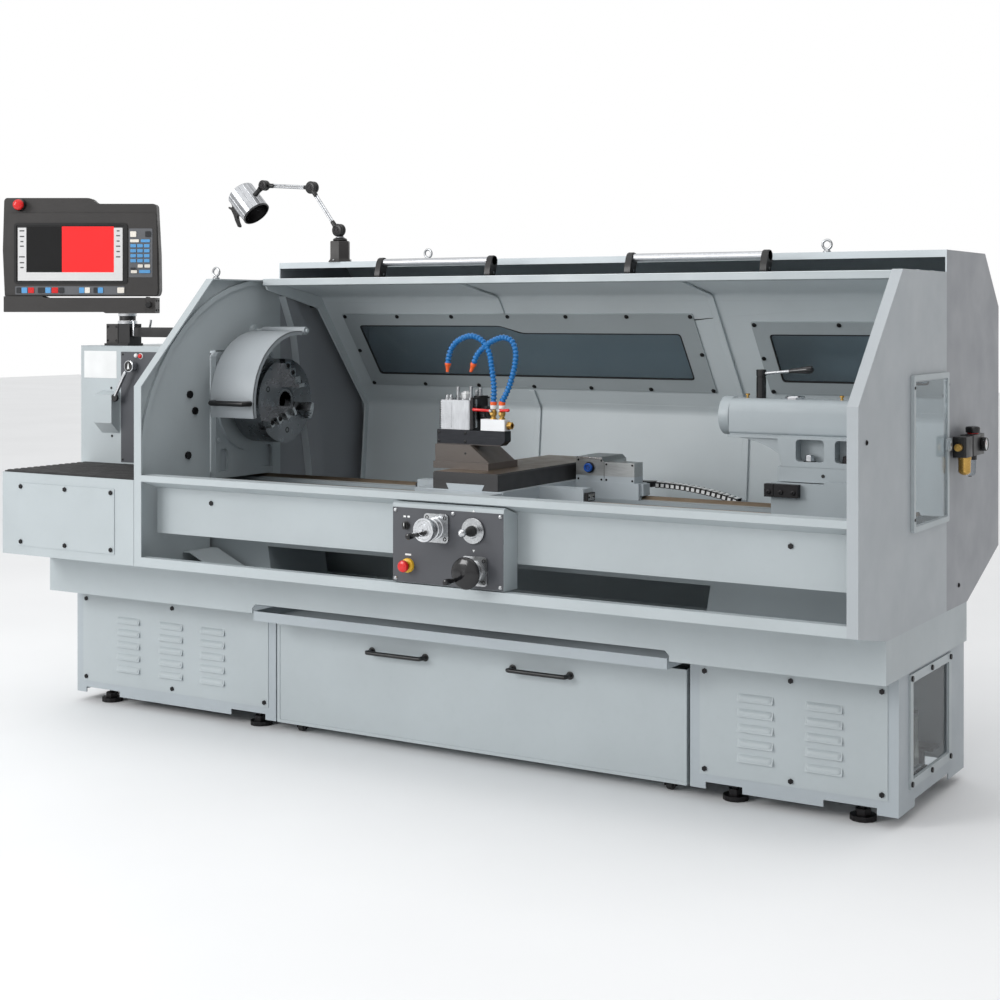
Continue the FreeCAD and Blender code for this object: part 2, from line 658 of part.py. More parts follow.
for number, angle in enumerate(jaw_angles, 1):
    jaw = slab(f"jaw_body_{number}", "y", [[(s.chuck_face + step, radius) for radius, step in jaw_steps]],
               -s.jaw_width / 2, s.jaw_width / 2)
    jaw.Placement = FreeCAD.Placement(FreeCAD.Vector(0, s.spindle_y.value, s.spindle_z.value),
                                      FreeCAD.Rotation(FreeCAD.Vector(1, 0, 0), angle - 90))
    node(f"jaw_{number}", jaw)

# Chuck guard: a curved sheet that swings up about a pin on the left end plate, with a grab handle.
guard_angles = [math.radians(192 - 110 * i / 11) for i in range(12)]
guard_arc = [(s.spindle_y + s.guard_radius * math.cos(angle), s.spindle_z + s.guard_radius * math.sin(angle))
             for angle in guard_angles]
guard_sheet = slab("guard_sheet", "x", [bent_sheet(guard_arc[::-1], 3)], s.guard_left, s.guard_right)
guard_bush = flat_sided_bar("guard_bush", "x", (s.guard_left, s.hinge_y, s.hinge_z), 12, 16, 216)
handle_bow = slab("handle_bow", "z", [bent_sheet([(90, 356), (90, 318), (263, 318), (263, 356)], 14)],
                  as_size(1200), as_size(1226))
pin_hole = flat_sided_bar("pin_hole", "x", (s.guard_left - 5, s.hinge_y, s.hinge_z), 12,
                          hole_around(as_size(8), 12), 230)
node("chuck_guard", cut("guard", fuse("guard_solid", guard_sheet, guard_bush, handle_bow), pin_hole))

# Door: three flat panels across the whole machine, joined at two creases, that swing about an axis above
# the bed.  The middle panel has two windows, each with a bolted frame, and a narrow arm closes each end.
door_path = [(1400, 820), (1430, 1168), (1080, 1634), (700, 1700)]
door_inside = bent_sheet(door_path, 3)[:3:-1]
arm_inside = [(1372, 829), (1401, 1157), (1058, 1582), (722, 1655)]
middle_along = (350 / 582.8, -466 / 582.8)
middle_inward = (-466 / 582.8, -350 / 582.8)


def on_the_door(distance, lift):
    """A point that lies a distance down the middle panel from its upper crease, and a lift inside it."""
    return (1080 + middle_along[0] * distance + middle_inward[0] * lift,
            1634 + middle_along[1] * distance + middle_inward[1] * lift)


def facet_box(name, x, far, near, lift, depth):
    """A plate on the middle panel of the door."""
    outline = [on_the_door(near, lift), on_the_door(far, lift), on_the_door(far, lift + depth),
               on_the_door(near, lift + depth)]
    return slab(name, "x", [outline], as_size(x[0]), as_size(x[1]))


windows = {"left": ((190, 1680), (150, 413)), "right": ((2040, 2600), (186, 413))}
frame_edges = {"left": ((124, 1755), (92, 475)), "right": ((1980, 2660), (129, 471))}
lower_panel = slab("lower_panel", "x", [[door_path[0], door_path[1], door_inside[1], door_inside[0]]],
                   s.door_left, s.door_right)
upper_panel = slab("upper_panel", "x", [[door_path[2], door_path[3], door_inside[3], door_inside[2]]],
                   s.door_left, s.door_right)
middle_head = slab("middle_head", "x", [[door_path[2], on_the_door(150, 0), on_the_door(150, 3),
                                         door_inside[2]]], s.door_left, s.door_right)
middle_foot = slab("middle_foot", "x", [[on_the_door(413, 0), door_path[1], door_inside[1],
                                         on_the_door(413, 3)]], s.door_left, s.door_right)
middle_posts = [facet_box(f"middle_post_{i}", span, 413, 150, 0, 3)
                for i, span in enumerate(((s.door_left, 190), (1680, 2040), (2600, s.door_right)), 1)]
right_head = facet_box("right_window_head", (2040, 2600), 186, 150, 0, 3)
door_rail = slab("door_rail", "x", [[(702, 1696.6), (702, 1672), (718, 1669), (718, 1693.8)]],
                 s.door_left + 8, s.door_right - 8)
door_arms = []
for end, x in (("left", s.door_left), ("right", s.door_right - 8)):
    for k in range(3):
        arm_outline = [door_inside[k], door_inside[k + 1], arm_inside[k + 1], arm_inside[k]]
        door_arms.append(slab(f"{end}_arm_{k + 1}", "x", [arm_outline], x, x + 8))
window_frames = []
panes = []
for side, (across, down) in windows.items():
    frame_across, frame_down = frame_edges[side]
    window_frames.append(facet_box(f"{side}_frame_head", frame_across, down[0], frame_down[0], 3, 5))
    window_frames.append(facet_box(f"{side}_frame_foot", frame_across, frame_down[1], down[1], 3, 5))
    left_bar = (frame_across[0], across[0])
    right_bar = (across[1], frame_across[1])
    window_frames.append(facet_box(f"{side}_frame_left", left_bar, down[1], down[0], 3, 5))
    window_frames.append(facet_box(f"{side}_frame_right", right_bar, down[1], down[0], 3, 5))
    panes.append(facet_box(f"{side}_pane", (across[0] + 0.5, across[1] - 0.5), down[1] - 0.5, down[0] + 0.5,
                           -3, 6))
window_frames.append(facet_box("left_frame_step", (940, 1680), 186, 150, 3, 5))
node("front_door", lower_panel, upper_panel, middle_head, middle_foot, *middle_posts, right_head, door_rail,
     *door_arms, *window_frames)
node("door_windows", *panes)
track_inside = (s.track_radius - s.track_width) * math.cos(math.radians(track_sweep / track_steps / 2))
rollers = []
for end, x in (("left", s.door_left - 35), ("right", s.door_right)):
    for number, angle in enumerate((88, 64), 1):
        reach = track_inside - 10 - GAP
        place = (s.door_axis_y + reach * math.cos(math.radians(angle)),
                 s.door_axis_z + reach * math.sin(math.radians(angle)))
        rollers.append(flat_sided_bar(f"{end}_roller_{number}", "x", (x, *place), 8, 10, 35))
handles = []
for side, (left, right) in {"left": (610, 1105), "right": (1700, 2210)}.items():
    handles.append(flat_sided_bar(f"{side}_grip", "x", (left, 742, 1757), 16, 15, right - left))
    for end, x in enumerate((left - 14, right), 1):
        handles.append(slab(f"{side}_handle_arm_{end}", "x", [[(712, 1698.3), (740, 1693.5), (760, 1730),
                                                               (766, 1762), (750, 1776), (730, 1770),
                                                               (724, 1745)]], as_size(x), as_size(x + 14)))
node("door_fittings", *handles, *rollers)

# Carriage: saddle on both ways, wings with wipers, and a bridge that carries the apron through the slot.
front_bearing = [(445, s.way_flat + 0.5), (s.front_way - way - 0.3, s.way_flat + 0.5),
                 (s.front_way - 5.3, s.way_peak + 0.4), (s.front_way + 5.3, s.way_peak + 0.4),
                 (s.front_way + way + 0.3, s.way_flat + 0.5), (520, s.way_flat + 0.5)]
rear_bearing = [(710, s.way_flat + 0.5), (s.rear_way - way - 0.3, s.way_flat + 0.5),
                (s.rear_way - 5.3, s.way_peak + 0.4), (s.rear_way + 5.3, s.way_peak + 0.4),
                (s.rear_way + way + 0.3, s.way_flat + 0.5), (785, s.way_flat + 0.5)]
front_wing = slab("front_wing", "x", [front_bearing + [(520, 940), (505, 952), (445, 952)]], as_size(972),
                  as_size(1660))
rear_wing = slab("rear_wing", "x", [rear_bearing + [(785, 944), (777, 952), (710, 952)]], as_size(972),
                 as_size(1740))
saddle_bridge = slab("saddle_bridge", "y", [[(s.saddle_left, 914), (s.saddle_right, 914),
                                             (s.saddle_right, s.saddle_top), (1400, s.saddle_top),
                                             (1411, 974), (1256, 974), (1267, s.saddle_top),
                                             (s.saddle_left, s.saddle_top)]], s.saddle_front, s.saddle_back)
saddle_front_drop = slab("saddle_front_drop", "x", [[(100, 905), (128, 905), (s.saddle_front + 10, 926),
                                                     (s.saddle_front + 10, 950), (100, 950)]],
                         as_size(1180), as_size(1480))
wipers = [block(f"wiper_{i}", (x, x + 12), (y - 26, y + 26), (908.5, top))
          for i, (x, y, top) in enumerate(((960, 480, 936), (1660, 480, 936), (960, 750, 950),
                                           (1740, 750, 950)), 1)]
motor_cover = slab("motor_cover", "y", [[(1486.3, 952), (1600, 952), (1600, 1026), (1585, 1040),
                                         (1486.3, 1040)]], as_size(712), as_size(890))
step_box = block("step_box", (1602, 1722), (712, 780), (952, 1024))
node("saddle", fuse("saddle_casting", front_wing, rear_wing, saddle_bridge, saddle_front_drop), *wipers,
     motor_cover, step_box)

# Apron: a dark operator's panel in front of the guard, linked below the light panel.
apron_outline = [(4, s.apron_bottom), (0, s.apron_bottom + 4), (0, s.apron_top - 6), (10, s.apron_top),
                 (86, s.apron_top - 26), (86, s.apron_bottom)]
apron_box = slab("apron_box", "x", [apron_outline], s.apron_left, s.apron_right)
apron_link = slab("apron_link", "x", [[(86, 660), (128, 660), (128, 905), (100, 905), (100, 725),
                                       (86, 725)]], as_size(1200), as_size(1460))
apron_heads = [(1185, 897), (1597, 897), (1185, 668), (1597, 668), (1428, 897)]
wheel_plates = [block(f"wheel_plate_{i}", (x - 48, x + 48), (-6, as_size(0)), (z - 48, z + 48))
                for i, (x, z) in enumerate(((s.wheel_x + 5, s.wheel_z), (s.low_wheel_x, s.low_wheel_z)), 1)]
node("apron", fuse("apron_body", apron_box, apron_link),
     *wheel_plates, *panel_screws("apron_screw", "y", [(x, as_size(-5), z) for x, z in apron_heads], 7, 5),
     cut("stop_collar", flat_sided_bar("collar_blank", "y", (1236, -14, 714), 16, 24, 14),
         flat_sided_bar("collar_bore", "y", (1236, -20, 714), 8, 12.5, 20)),
     cut("joystick_boot", flat_sided_bar("boot_blank", "y", (1495, -12, s.wheel_z), 16, 43, 12),
         flat_sided_bar("boot_bore", "y", (1495, -20, s.wheel_z), 8, 15, 20)))


def handwheel(name, x, z, radius, drum, front, grip_angle):
    """A round wheel on a drum, with a turning grip."""
    disc = flat_sided_bar(f"{name}_disc", "y", (x, as_size(front), z), 24, radius, 18)
    hub = flat_sided_bar(f"{name}_hub", "y", (x, front + 18, z), 12, drum, -front - 24 - GAP)
    turn = math.radians(grip_angle)
    grip_x = x + (radius - 12) * math.cos(turn)
    grip_z = z + (radius - 12) * math.sin(turn)
    grip = flat_sided_bar(f"{name}_grip", "y", (grip_x, front - 58, grip_z), 8, 11, 58)
    node(name, disc, hub, grip)


handwheel("z_handwheel", s.wheel_x, s.wheel_z, as_size(40), 34, -78.0, 215)
handwheel("x_handwheel", s.low_wheel_x, s.low_wheel_z, as_size(53), 30, -78.0, 215)
node("joystick", bar_between("joystick_stem", (1495, -8, s.wheel_z), (1495, -58, s.wheel_z), 7),
     flat_sided_bar("joystick_ball", "y", (1495, -86, s.wheel_z), 12, 15, 28))
node("stop_button", flat_sided_bar("stop_head", "y", (1236, -42, 714), 16, 20, 18),
     flat_sided_bar("stop_stem", "y", (1236, -24, 714), 8, 11, 16))
node("cycle_knob", flat_sided_bar("knob_head", "y", (1229, -18, 847), 16, 14, 17.7))

# Cross slide on the dovetail of the saddle.
slide_section = [(s.slide_left, s.saddle_top + GAP), (1266.5, s.saddle_top + GAP), (1255.3, 974.4),
                 (1411.7, 974.4), (1400.5, s.saddle_top + GAP), (s.slide_right, s.saddle_top + GAP),
                 (s.slide_right, 1008), (s.slide_right - 5, s.slide_top), (s.slide_left + 5, s.slide_top),
                 (s.slide_left, 1008)]
slide_body = slab("slide_body", "y", [slide_section], s.saddle_front, s.slide_back)
node("cross_slide", slide_body)

# Tool riser, compound plate, toolpost and valve block.
riser_base = slab("riser_base", "y", [[(1134, s.slide_top), (1362, s.slide_top), (1362, 1037), (1134, 1037)]],
                  as_size(305), as_size(505))
riser_web = slab("riser_web", "y", [[(1136, 1037), (1360, 1037), (1281, s.plate_low), (1136, s.plate_low)]],
                 as_size(315), as_size(490))
riser_plate = block("riser_plate", (1134, 1261), (330, 475), (s.plate_low, s.plate_high))
bracket_outline = [(1261, s.plate_low), (1396, s.plate_low), (1414, s.plate_low + 16), (1414, s.plate_high),
                   (1261, s.plate_high)]
riser_bracket = slab("riser_bracket", "y", [bracket_outline], as_size(330), as_size(371))
node("tool_riser", fuse("riser_casting", riser_base, riser_web), riser_plate, riser_bracket)
post_block = block("post_block", (s.post_left + 12, s.post_right), (335, 460), (s.plate_high, 1253))
post_slots = [block(f"post_slot_{i}", (s.post_left - 5, s.post_right + 5), (y0, y1), (1176, 1208))
              for i, (y0, y1) in enumerate(((325, 352), (443, 470)), 1)]
tooth_pitch = 15
teeth = []
for i in range(8):
    tooth_front = 338 + tooth_pitch * i
    tooth = [(s.post_left + 12, tooth_front), (s.post_left, tooth_front + tooth_pitch / 2),
             (s.post_left + 12, tooth_front + tooth_pitch)]
    teeth.append(slab(f"post_tooth_{i + 1}", "z", [tooth], s.plate_high + 4, as_size(1248)))
stud_places = ((1160, 345), (1198, 345), (1240, 345), (1160, 450), (1240, 450))
post_studs = [flat_sided_bar(f"post_stud_{i}", "z", (x, y, 1253), 6, 8, 18)
              for i, (x, y) in enumerate(stud_places, 1)]
post_nut = flat_sided_bar("post_nut", "z", (1212, 398, 1253), 6, 24, 26)
post_knob = flat_sided_bar("post_knob", "x", (s.post_right, 398, 1205), 14, 27, 30)
node("toolpost", cut("post_body", fuse("post_solid", post_block, *teeth), *post_slots), *post_studs, post_nut,
     post_knob)
node("valve_block", block("coolant_block", (1315, 1414), (330, 371), (s.plate_high, 1189)),
     flat_sided_bar("block_end", "x", (1414, 350, 1168), 6, 14, 20),
     flat_sided_bar("valve_body_1", "z", (1356, 350, 1189), 8, 13, 52),
     flat_sided_bar("valve_body_2", "z", (1391, 350, 1189), 8, 13, 57))
for number, (x, z, side, reach) in enumerate(((1356, 1219, -1, 71), (1391, 1221, 1, 43)), 1):
    lever_outline = [(x + side * across, y) for across, y in (
        (-7, 336.7), (-7, 330), (7, 330), (26, 321), (reach, 321), (reach, 328), (28, 328), (9, 336.7))]
    node(f"valve_lever_{number}",
         slab(f"lever_plate_{number}", "z", [lever_outline], as_size(z - 5), as_size(z + 5)))

# Ribbed coolant hoses: each is one chain of ball segments, seen as a tube with a waist between ribs.
hose_routes = {
    "hose_1": [(1356, 1244), (1358, 1300), (1349, 1368), (1338, 1422), (1310, 1462), (1264, 1479),
               (1214, 1464), (1183, 1436), (1170, 1401), (1167, 1381)],
    "hose_2": [(1391, 1250), (1415, 1293), (1431, 1335), (1443, 1381), (1446, 1425), (1430, 1462),
               (1392, 1474), (1347, 1459), (1311, 1435), (1288, 1411), (1274, 1381)],
}


def along(route, distance):
    """The point and direction at a distance along a route of straight runs."""
    for start, end in zip(route, route[1:]):
        length = math.dist(start, end)
        if distance <= length:
            part = distance / length
            point = (start[0] + (end[0] - start[0]) * part, start[1] + (end[1] - start[1]) * part)
            return point, ((end[0] - start[0]) / length, (end[1] - start[1]) / length)
        distance -= length
    return along([route[-2], route[-1]], math.dist(route[-2], route[-1]))


def ring_at(point, direction, radius, y):
    """The six corners of a ring square to the route."""
    corners = []
    for step in range(6):
        turn = math.radians(60 * step)
        side = radius * math.cos(turn)
        corners.append(FreeCAD.Vector(point[0] - direction[1] * side, y + radius * math.sin(turn),
                                      point[1] + direction[0] * side))
    return corners


def ribbed_hose(route, segments, y):
    total = sum(math.dist(a, b) for a, b in zip(route, route[1:]))
    rings = []
    for index in range(2 * segments + 1):
        distance = total * index / (2 * segments)
        point, _ = along(route, distance)
        before, _ = along(route, max(distance - 14, 0))
        after, _ = along(route, min(distance + 14, total))
        length = math.dist(before, after)
        direction = ((after[0] - before[0]) / length, (after[1] - before[1]) / length)
        rings.append(ring_at(point, direction, 11.5 if index % 2 else 8.5, y))
    for reach, radius in ((0.5, 11.0), (9.0, 11.0), (32.0, 4.5)):
        tip = (point[0] + direction[0] * reach, point[1] + direction[1] * reach)
        rings.append(ring_at(tip, direction, radius, y))
    faces = [flat_face(*rings[0]), flat_face(*rings[-1])]
    for ring, following in zip(rings, rings[1:]):
        for k in range(6):
            after = (k + 1) % 6
            faces.append(flat_face(ring[k], ring[after], following[after]))
            faces.append(flat_face(ring[k], following[after], following[k]))
    return Part.Solid(Part.Shell(faces))


hoses = []
for number, (name, route) in enumerate(hose_routes.items()):
    solid = doc.addObject("Part::Feature", name)
    solid.Shape = ribbed_hose(route, 11, 350)
    hoses.append(solid)
node("coolant_hoses", *hoses)

# Tailstock on the rear half of the bed: base, ribbed body, barrel, quill, handwheel and clamp lever.
tail_outline = [
    (450, s.way_flat + 0.5), (s.front_way - way - 0.3, s.way_flat + 0.5),
    (s.front_way - 5.3, s.way_peak + 0.4), (s.front_way + 5.3, s.way_peak + 0.4),
    (s.front_way + way + 0.3, s.way_flat + 0.5), (525, s.way_flat + 0.5), (525, 915), (705, 915),
    (705, s.way_flat + 0.5), (s.rear_way - way - 0.3, s.way_flat + 0.5), (s.rear_way - 5.3, s.way_peak + 0.4),
    (s.rear_way + 5.3, s.way_peak + 0.4), (s.rear_way + way + 0.3, s.way_flat + 0.5),
    (782, s.way_flat + 0.5), (782, s.tail_split), (450, s.tail_split)]
tail_base = slab("tail_base", "x", [tail_outline], s.tail_base_left, s.tail_end)
foot_left = s.tail_base_left + 10
foot_right = s.tail_end - 8
upper_outline = [(foot_left, s.tail_split), (foot_right, s.tail_split), (foot_right, s.tail_base_top),
                 (s.tail_end - 30, 1180), (foot_left + 7, 1180), (foot_left + 7, s.tail_base_top),
                 (foot_left, s.tail_base_top)]
tail_upper = slab("tail_upper", "y", [upper_outline], as_size(485), as_size(765))
tail_web = slab("tail_web", "y", [[(2150, 1160), (2150, 1146), (2205, 1139), (2282, 1122), (2334, 1089),
                                   (2354, s.tail_base_top), (2390, s.tail_base_top), (2390, 1160)]],
                as_size(570), as_size(690))
tail_pockets = [block(f"tail_pocket_{i}", span, (y, y + 46), (1078, 1154))
                for i, (span, y) in enumerate([(span, y) for span in ((2419, 2515), (2551, 2620))
                                               for y in (484, 720)], 1)]
barrel = slab("barrel", "x", [[(588, 1156), (672, 1156), (694, 1178), (694, 1249), (670, s.barrel_top),
                               (590, s.barrel_top), (566, 1249), (566, 1178)]], s.tail_nose + 43, s.tail_end)
nose_ring = flat_sided_bar("nose_ring_tail", "x", (s.tail_nose, s.spindle_y, s.spindle_z), 32, 66, 43)
quill_hole = flat_sided_bar("quill_hole", "x", (s.tail_nose - 10, s.spindle_y, s.spindle_z), 24,
                            hole_around(s.quill_radius, 24), 640)
tail_solid = fuse("tail_solid", tail_base, tail_upper, tail_web, barrel, nose_ring)
oilers = [flat_sided_bar(f"oiler_{i}", "z", (x, s.spindle_y, s.barrel_top), 8, 9, 15)
          for i, x in enumerate((2191, 2523), 1)]
top_boss = flat_sided_bar("top_boss", "z", (2360, s.spindle_y, s.barrel_top), 16, 33, 10)
clamp_block = block("clamp_block", (2334, 2449), (425, 450), (964, 1009))
clamp_nuts = [flat_sided_bar(f"clamp_nut_{i}", "y", (x, 508, 1104), 6, 22, 22)
              for i, x in enumerate((2459, 2584), 1)]
node("tailstock", cut("tail_casting", tail_solid, quill_hole, *tail_pockets), *oilers, top_boss,
     clamp_block, *clamp_nuts)
quill_bar = flat_sided_bar("quill_bar", "x", (s.tail_nose + 4, s.spindle_y, s.spindle_z), 24,
                           s.quill_radius, 438)
quill_bore = flat_sided_bar("quill_bore", "x", (s.tail_nose - 6, s.spindle_y, s.spindle_z), 16, 20, 84)
node("quill", cut("quill_sleeve", quill_bar, quill_bore))
wheel_start = s.tail_end + GAP
node("quill_handwheel",
     flat_sided_bar("wheel_hub", "x", (wheel_start, s.spindle_y, s.spindle_z), 16, 40, 34),
     flat_sided_bar("wheel_rim", "x", (wheel_start + 34, s.spindle_y, s.spindle_z), 28, 80, 18),
     flat_sided_bar("wheel_knob", "x", (wheel_start + 52, s.spindle_y - 60, s.spindle_z), 10, 9, 38))
node("tailstock_lever",
     flat_sided_bar("lever_post", "z", (2240, s.spindle_y, s.barrel_top + GAP), 12, 17, 97),
     bar_between("lever_rod", (2256.4, s.spindle_y, 1353), (2398, s.spindle_y, 1370), 7),
     flat_sided_bar("lever_knob", "x", (2398, s.spindle_y, 1371), 10, 14, 28))

# Coolant tank and chip drawer, both pulled out to the front.
tank_outer = rectangle((s.tank_left, s.tank_right), (s.pedestal_front, s.pedestal_back - 30))
tank_walls = slab("tank_walls", "z", [tank_outer, inset(tank_outer, 4)], as_size(4), s.tank_top)
tank_floor = slab("tank_floor", "z", [tank_outer], as_size(0), as_size(4))
tank_handles = []
for number, (left, right) in enumerate(((802, 1037), (1405, 1634)), 1):
    path = [(left, 400), (left, 362), (right, 362), (right, 400)]
    tank_handles.append(slab(f"tank_handle_{number}", "z", [bent_sheet(path, 16)], as_size(307),
                             as_size(323)))
castors = [flat_sided_bar(f"castor_{i}", "x", (x, y, -s.foot_height / 2), 8, s.foot_height / 2, 24)
           for i, (x, y) in enumerate([(x, y) for x in (430, 1980) for y in (450, 1020)], 1)]
node("coolant_tank", fuse("tank", tank_walls, tank_floor), *tank_handles, *castors)
drawer_outer = rectangle((s.drawer_left, s.drawer_right), (s.tray_front - 2, 1010))
drawer_walls = slab("drawer_walls", "z", [drawer_outer, inset(drawer_outer, 3)], s.drawer_low + 3,
                    s.drawer_high)
drawer_floor = slab("drawer_floor", "z", [drawer_outer], s.drawer_low, s.drawer_low + 3)
node("chip_drawer", fuse("drawer", drawer_walls, drawer_floor))

# Operator's pendant on a swivelling arm.
turn = FreeCAD.Rotation(FreeCAD.Vector(0, 0, 1), s.pendant_turn.value)


def on_pendant(name, pieces):
    """Pieces drawn square to the pendant, with the column at the origin, turned and set on the column."""
    group = doc.addObject("Part::Compound", name)
    group.Links = list(pieces)
    group.Placement.Rotation = turn
    bind_place(group, s.column_x, s.column_y, 0)
    return group


node("pendant_post",
     block("post_foot", (-607, -476), (470, 560), (s.head_cover_top, 1440)),
     block("post_block_body", (-605, -478), (480, 552), (1440, 1516)),
     flat_sided_bar("post_ring_low", "z", (s.column_x, s.column_y, 1516), 16, 40, 14),
     flat_sided_bar("post_ring_mid", "z", (s.column_x, s.column_y, 1530), 16, 34, 18),
     flat_sided_bar("post_ring_top", "z", (s.column_x, s.column_y, 1548), 16, 40, 12 - GAP),
     block("post_beam", (-478, as_size(0)), (492, 532), (1462, 1502)),
     flat_sided_bar("clamp_stud", "y", (-455, 540, 1482), 8, 9, 26),
     slab("clamp_handle", "y", [[(-466, 1488), (-444, 1490), (-436, 1530), (-450, 1534)]], as_size(566),
          as_size(576)))
arm_beam = slab("arm_beam", "z", [rectangle((-500, 124), (-45, 45))], as_size(1560), as_size(1630))
housing = slab("pendant_housing", "y", [[(-508, 1630), (130, 1630), (138, 1640), (138, 2000), (124, 2011),
                                         (-107, 2011), (-147, 2035), (-495, 2035), (-508, 2022)]],
               as_size(-35), as_size(35))
node("pendant_arm", on_pendant("arm_group", [arm_beam]))
bezel_span = rectangle((-459, 7), (1681, 1931))
screen_span = rectangle((-444, -13), (1694, 1917))
key_across = 32
key_up = 40
keys = []
for row in range(5):
    for column in range(3):
        left = 19 + key_across * column
        low = 1712 + key_up * row
        keys.append(block(f"key_{row}_{column}", (left, left + 25), (-39, -35), (low, low + 30)))
node("pendant", on_pendant("housing_group", [
    housing,
    slab("bezel", "y", [bezel_span, screen_span], as_size(-40), as_size(-35)),
    slab("screen", "y", [screen_span], as_size(-37), as_size(-35)),
    slab("key_strip", "y", [rectangle((-455, 0), (1650, 1669))], as_size(-37), as_size(-35)),
    flat_sided_bar("mode_knob", "y", (97, -62, 1595), 12, 14, 17),
    cut("pendant_collar", flat_sided_bar("pendant_collar_blank", "y", (-436, -47, 2005.5), 16, 25, 12),
        flat_sided_bar("pendant_collar_bore", "y", (-436, -50, 2005.5), 8, 12.5, 20)),
    *keys,
]))
node("pendant_stop", on_pendant("stop_group", [
    flat_sided_bar("stop_cap", "y", (-436, -68, 2005.5), 16, 22, 16),
    flat_sided_bar("stop_neck", "y", (-436, -52, 2005.5), 8, 11, 10),
]))

# Work lamp: a foot, two jointed arms and a round head.
node("lamp_base",
     flat_sided_bar("lamp_foot", "z", (s.lamp_x, s.lamp_y, s.cover_top), 6, 52, 14),
     flat_sided_bar("lamp_drum", "z", (s.lamp_x, s.lamp_y, s.cover_top + 14), 6, 44, 72))
node("lamp_turret",
     flat_sided_bar("lamp_collar", "z", (s.lamp_x, s.lamp_y, s.cover_top + 86 + GAP), 12, 30, 20),
     slab("lamp_fork", "y", [[(s.lamp_x - 20, 1875.6), (s.lamp_x + 20, 1875.6), (s.lamp_x + 20, 1910),
                              (s.lamp_x - 20, 1910)]], s.lamp_y - 8, s.lamp_y + 8))


def lamp_arm(name, start, end, side, joint_radius):
    """A flat link with a round boss at each end."""
    angle = math.atan2(end[1].value - start[1].value, end[0].value - start[0].value)
    across = (-math.sin(angle) * 15, math.cos(angle) * 15)
    outline = [(start[0] + across[0], start[1] + across[1]), (start[0] - across[0], start[1] - across[1]),
               (end[0] - across[0], end[1] - across[1]), (end[0] + across[0], end[1] + across[1])]
    link = slab(f"{name}_link", "y", [outline], s.lamp_y + side, s.lamp_y + side + 16)
    bosses = [flat_sided_bar(f"{name}_boss_{i}", "y", (x, s.lamp_y + side, z), 12, joint_radius, 16)
              for i, (x, z) in enumerate((start, end), 1)]
    return fuse(f"{name}_arm", link, *bosses)


shoulder = (s.lamp_x, as_size(1899))
elbow = (s.lamp_elbow_x, s.lamp_elbow_z)
wrist = (s.lamp_wrist_x, s.lamp_wrist_z)
node("lamp_lower_arm", lamp_arm("lower", shoulder, elbow, -24.3, 22))
node("lamp_upper_arm", lamp_arm("upper", elbow, wrist, -7.9, 22))
shade_tilt = FreeCAD.Rotation(FreeCAD.Vector(0, 0, 1), FreeCAD.Vector(68, 0, -73))
shade_start = FreeCAD.Vector(-241, 0, 2075.3)


def shade_bar(name, start, radius, length):
    """A bar along the axis of the lamp shade."""
    bar = doc.addObject("Part::Prism", name)
    bar.Polygon = 20
    bar.Circumradius = radius
    bar.Height = length
    bar.Placement.Rotation = shade_tilt
    point = shade_start + shade_tilt.multVec(FreeCAD.Vector(0, 0, start))
    bind_place(bar, point.x, s.lamp_y, point.z)
    return bar


lamp_can = shade_bar("lamp_can", 0, 62, 132)
lamp_hollow = shade_bar("lamp_hollow", 40, 58, 100)
lug_outline = [(s.lamp_wrist_x - 18, s.lamp_wrist_z), (s.lamp_wrist_x, s.lamp_wrist_z + 18),
               (s.lamp_wrist_x + 18, s.lamp_wrist_z), (-145.9, 2054.6), (-167.7, 2078)]
wrist_lug = slab("wrist_lug", "y", [lug_outline], s.lamp_y - 24.3, s.lamp_y - 8.3)
node("lamp_head", cut("lamp_shade", lamp_can, lamp_hollow), wrist_lug)

# Right end: side door, air preparation unit and its regulator.
door_span = rectangle((482, 856), (872, 1364))
node("side_door",
     slab("side_door_frame", "x", [door_span, inset(door_span, 18)], s.enclosure_length + GAP,
          s.enclosure_length + 12),
     slab("side_pane", "x", [inset(door_span, 18)], s.enclosure_length + 4, s.enclosure_length + 9),
     block("side_latch", (s.enclosure_length + 12, s.enclosure_length + 24), (812, 852), (1104, 1148)))
air_x = s.enclosure_length + 32
node("air_unit",
     block("air_bracket", (s.enclosure_length, air_x - 20), (930, 1060), (1090, 1140)),
     block("air_body", (air_x - 20, air_x + 26), (884, 1108), (1078, 1150)),
     flat_sided_bar("air_bowl_1", "z", (air_x + 3, 947, 1018), 12, 23, 60),
     flat_sided_bar("air_bowl_2", "z", (air_x + 3, 1012, 1008), 12, 23, 70),
     flat_sided_bar("air_gauge", "x", (air_x + 26, 1078, 1114), 16, 24, 16),
     flat_sided_bar("air_knob", "z", (air_x + 3, 1046, 1150), 16, 26, 26),
     flat_sided_bar("air_inlet", "y", (air_x + 3, 864, 1114), 8, 14, 20))

# Energy chain behind the bed: links along a hanging curve.
chain = []
chain_links = 16
for index in range(chain_links):
    part = (index + 0.5) / chain_links
    x = 1745 + 320 * part
    z = 938 - 44 * part * part
    link = block(f"chain_link_{index + 1}", (x - 8.5, x + 8.5), (830, 872), (z - 12, z + 12))
    chain.append(link)
node("drag_chain", *chain)

# Gear selector on the headstock cover.
node("gear_selector",
     flat_sided_bar("selector_hub", "y", (-433, s.head_cover_front - 33, 1344), 16, 24, 29.7),
     slab("selector_lever", "y", [[(-446, 1330), (-418, 1336), (-436, 1300), (-494, 1208), (-510, 1216),
                                   (-458, 1312)]], s.head_cover_front - 45, s.head_cover_front - 33))

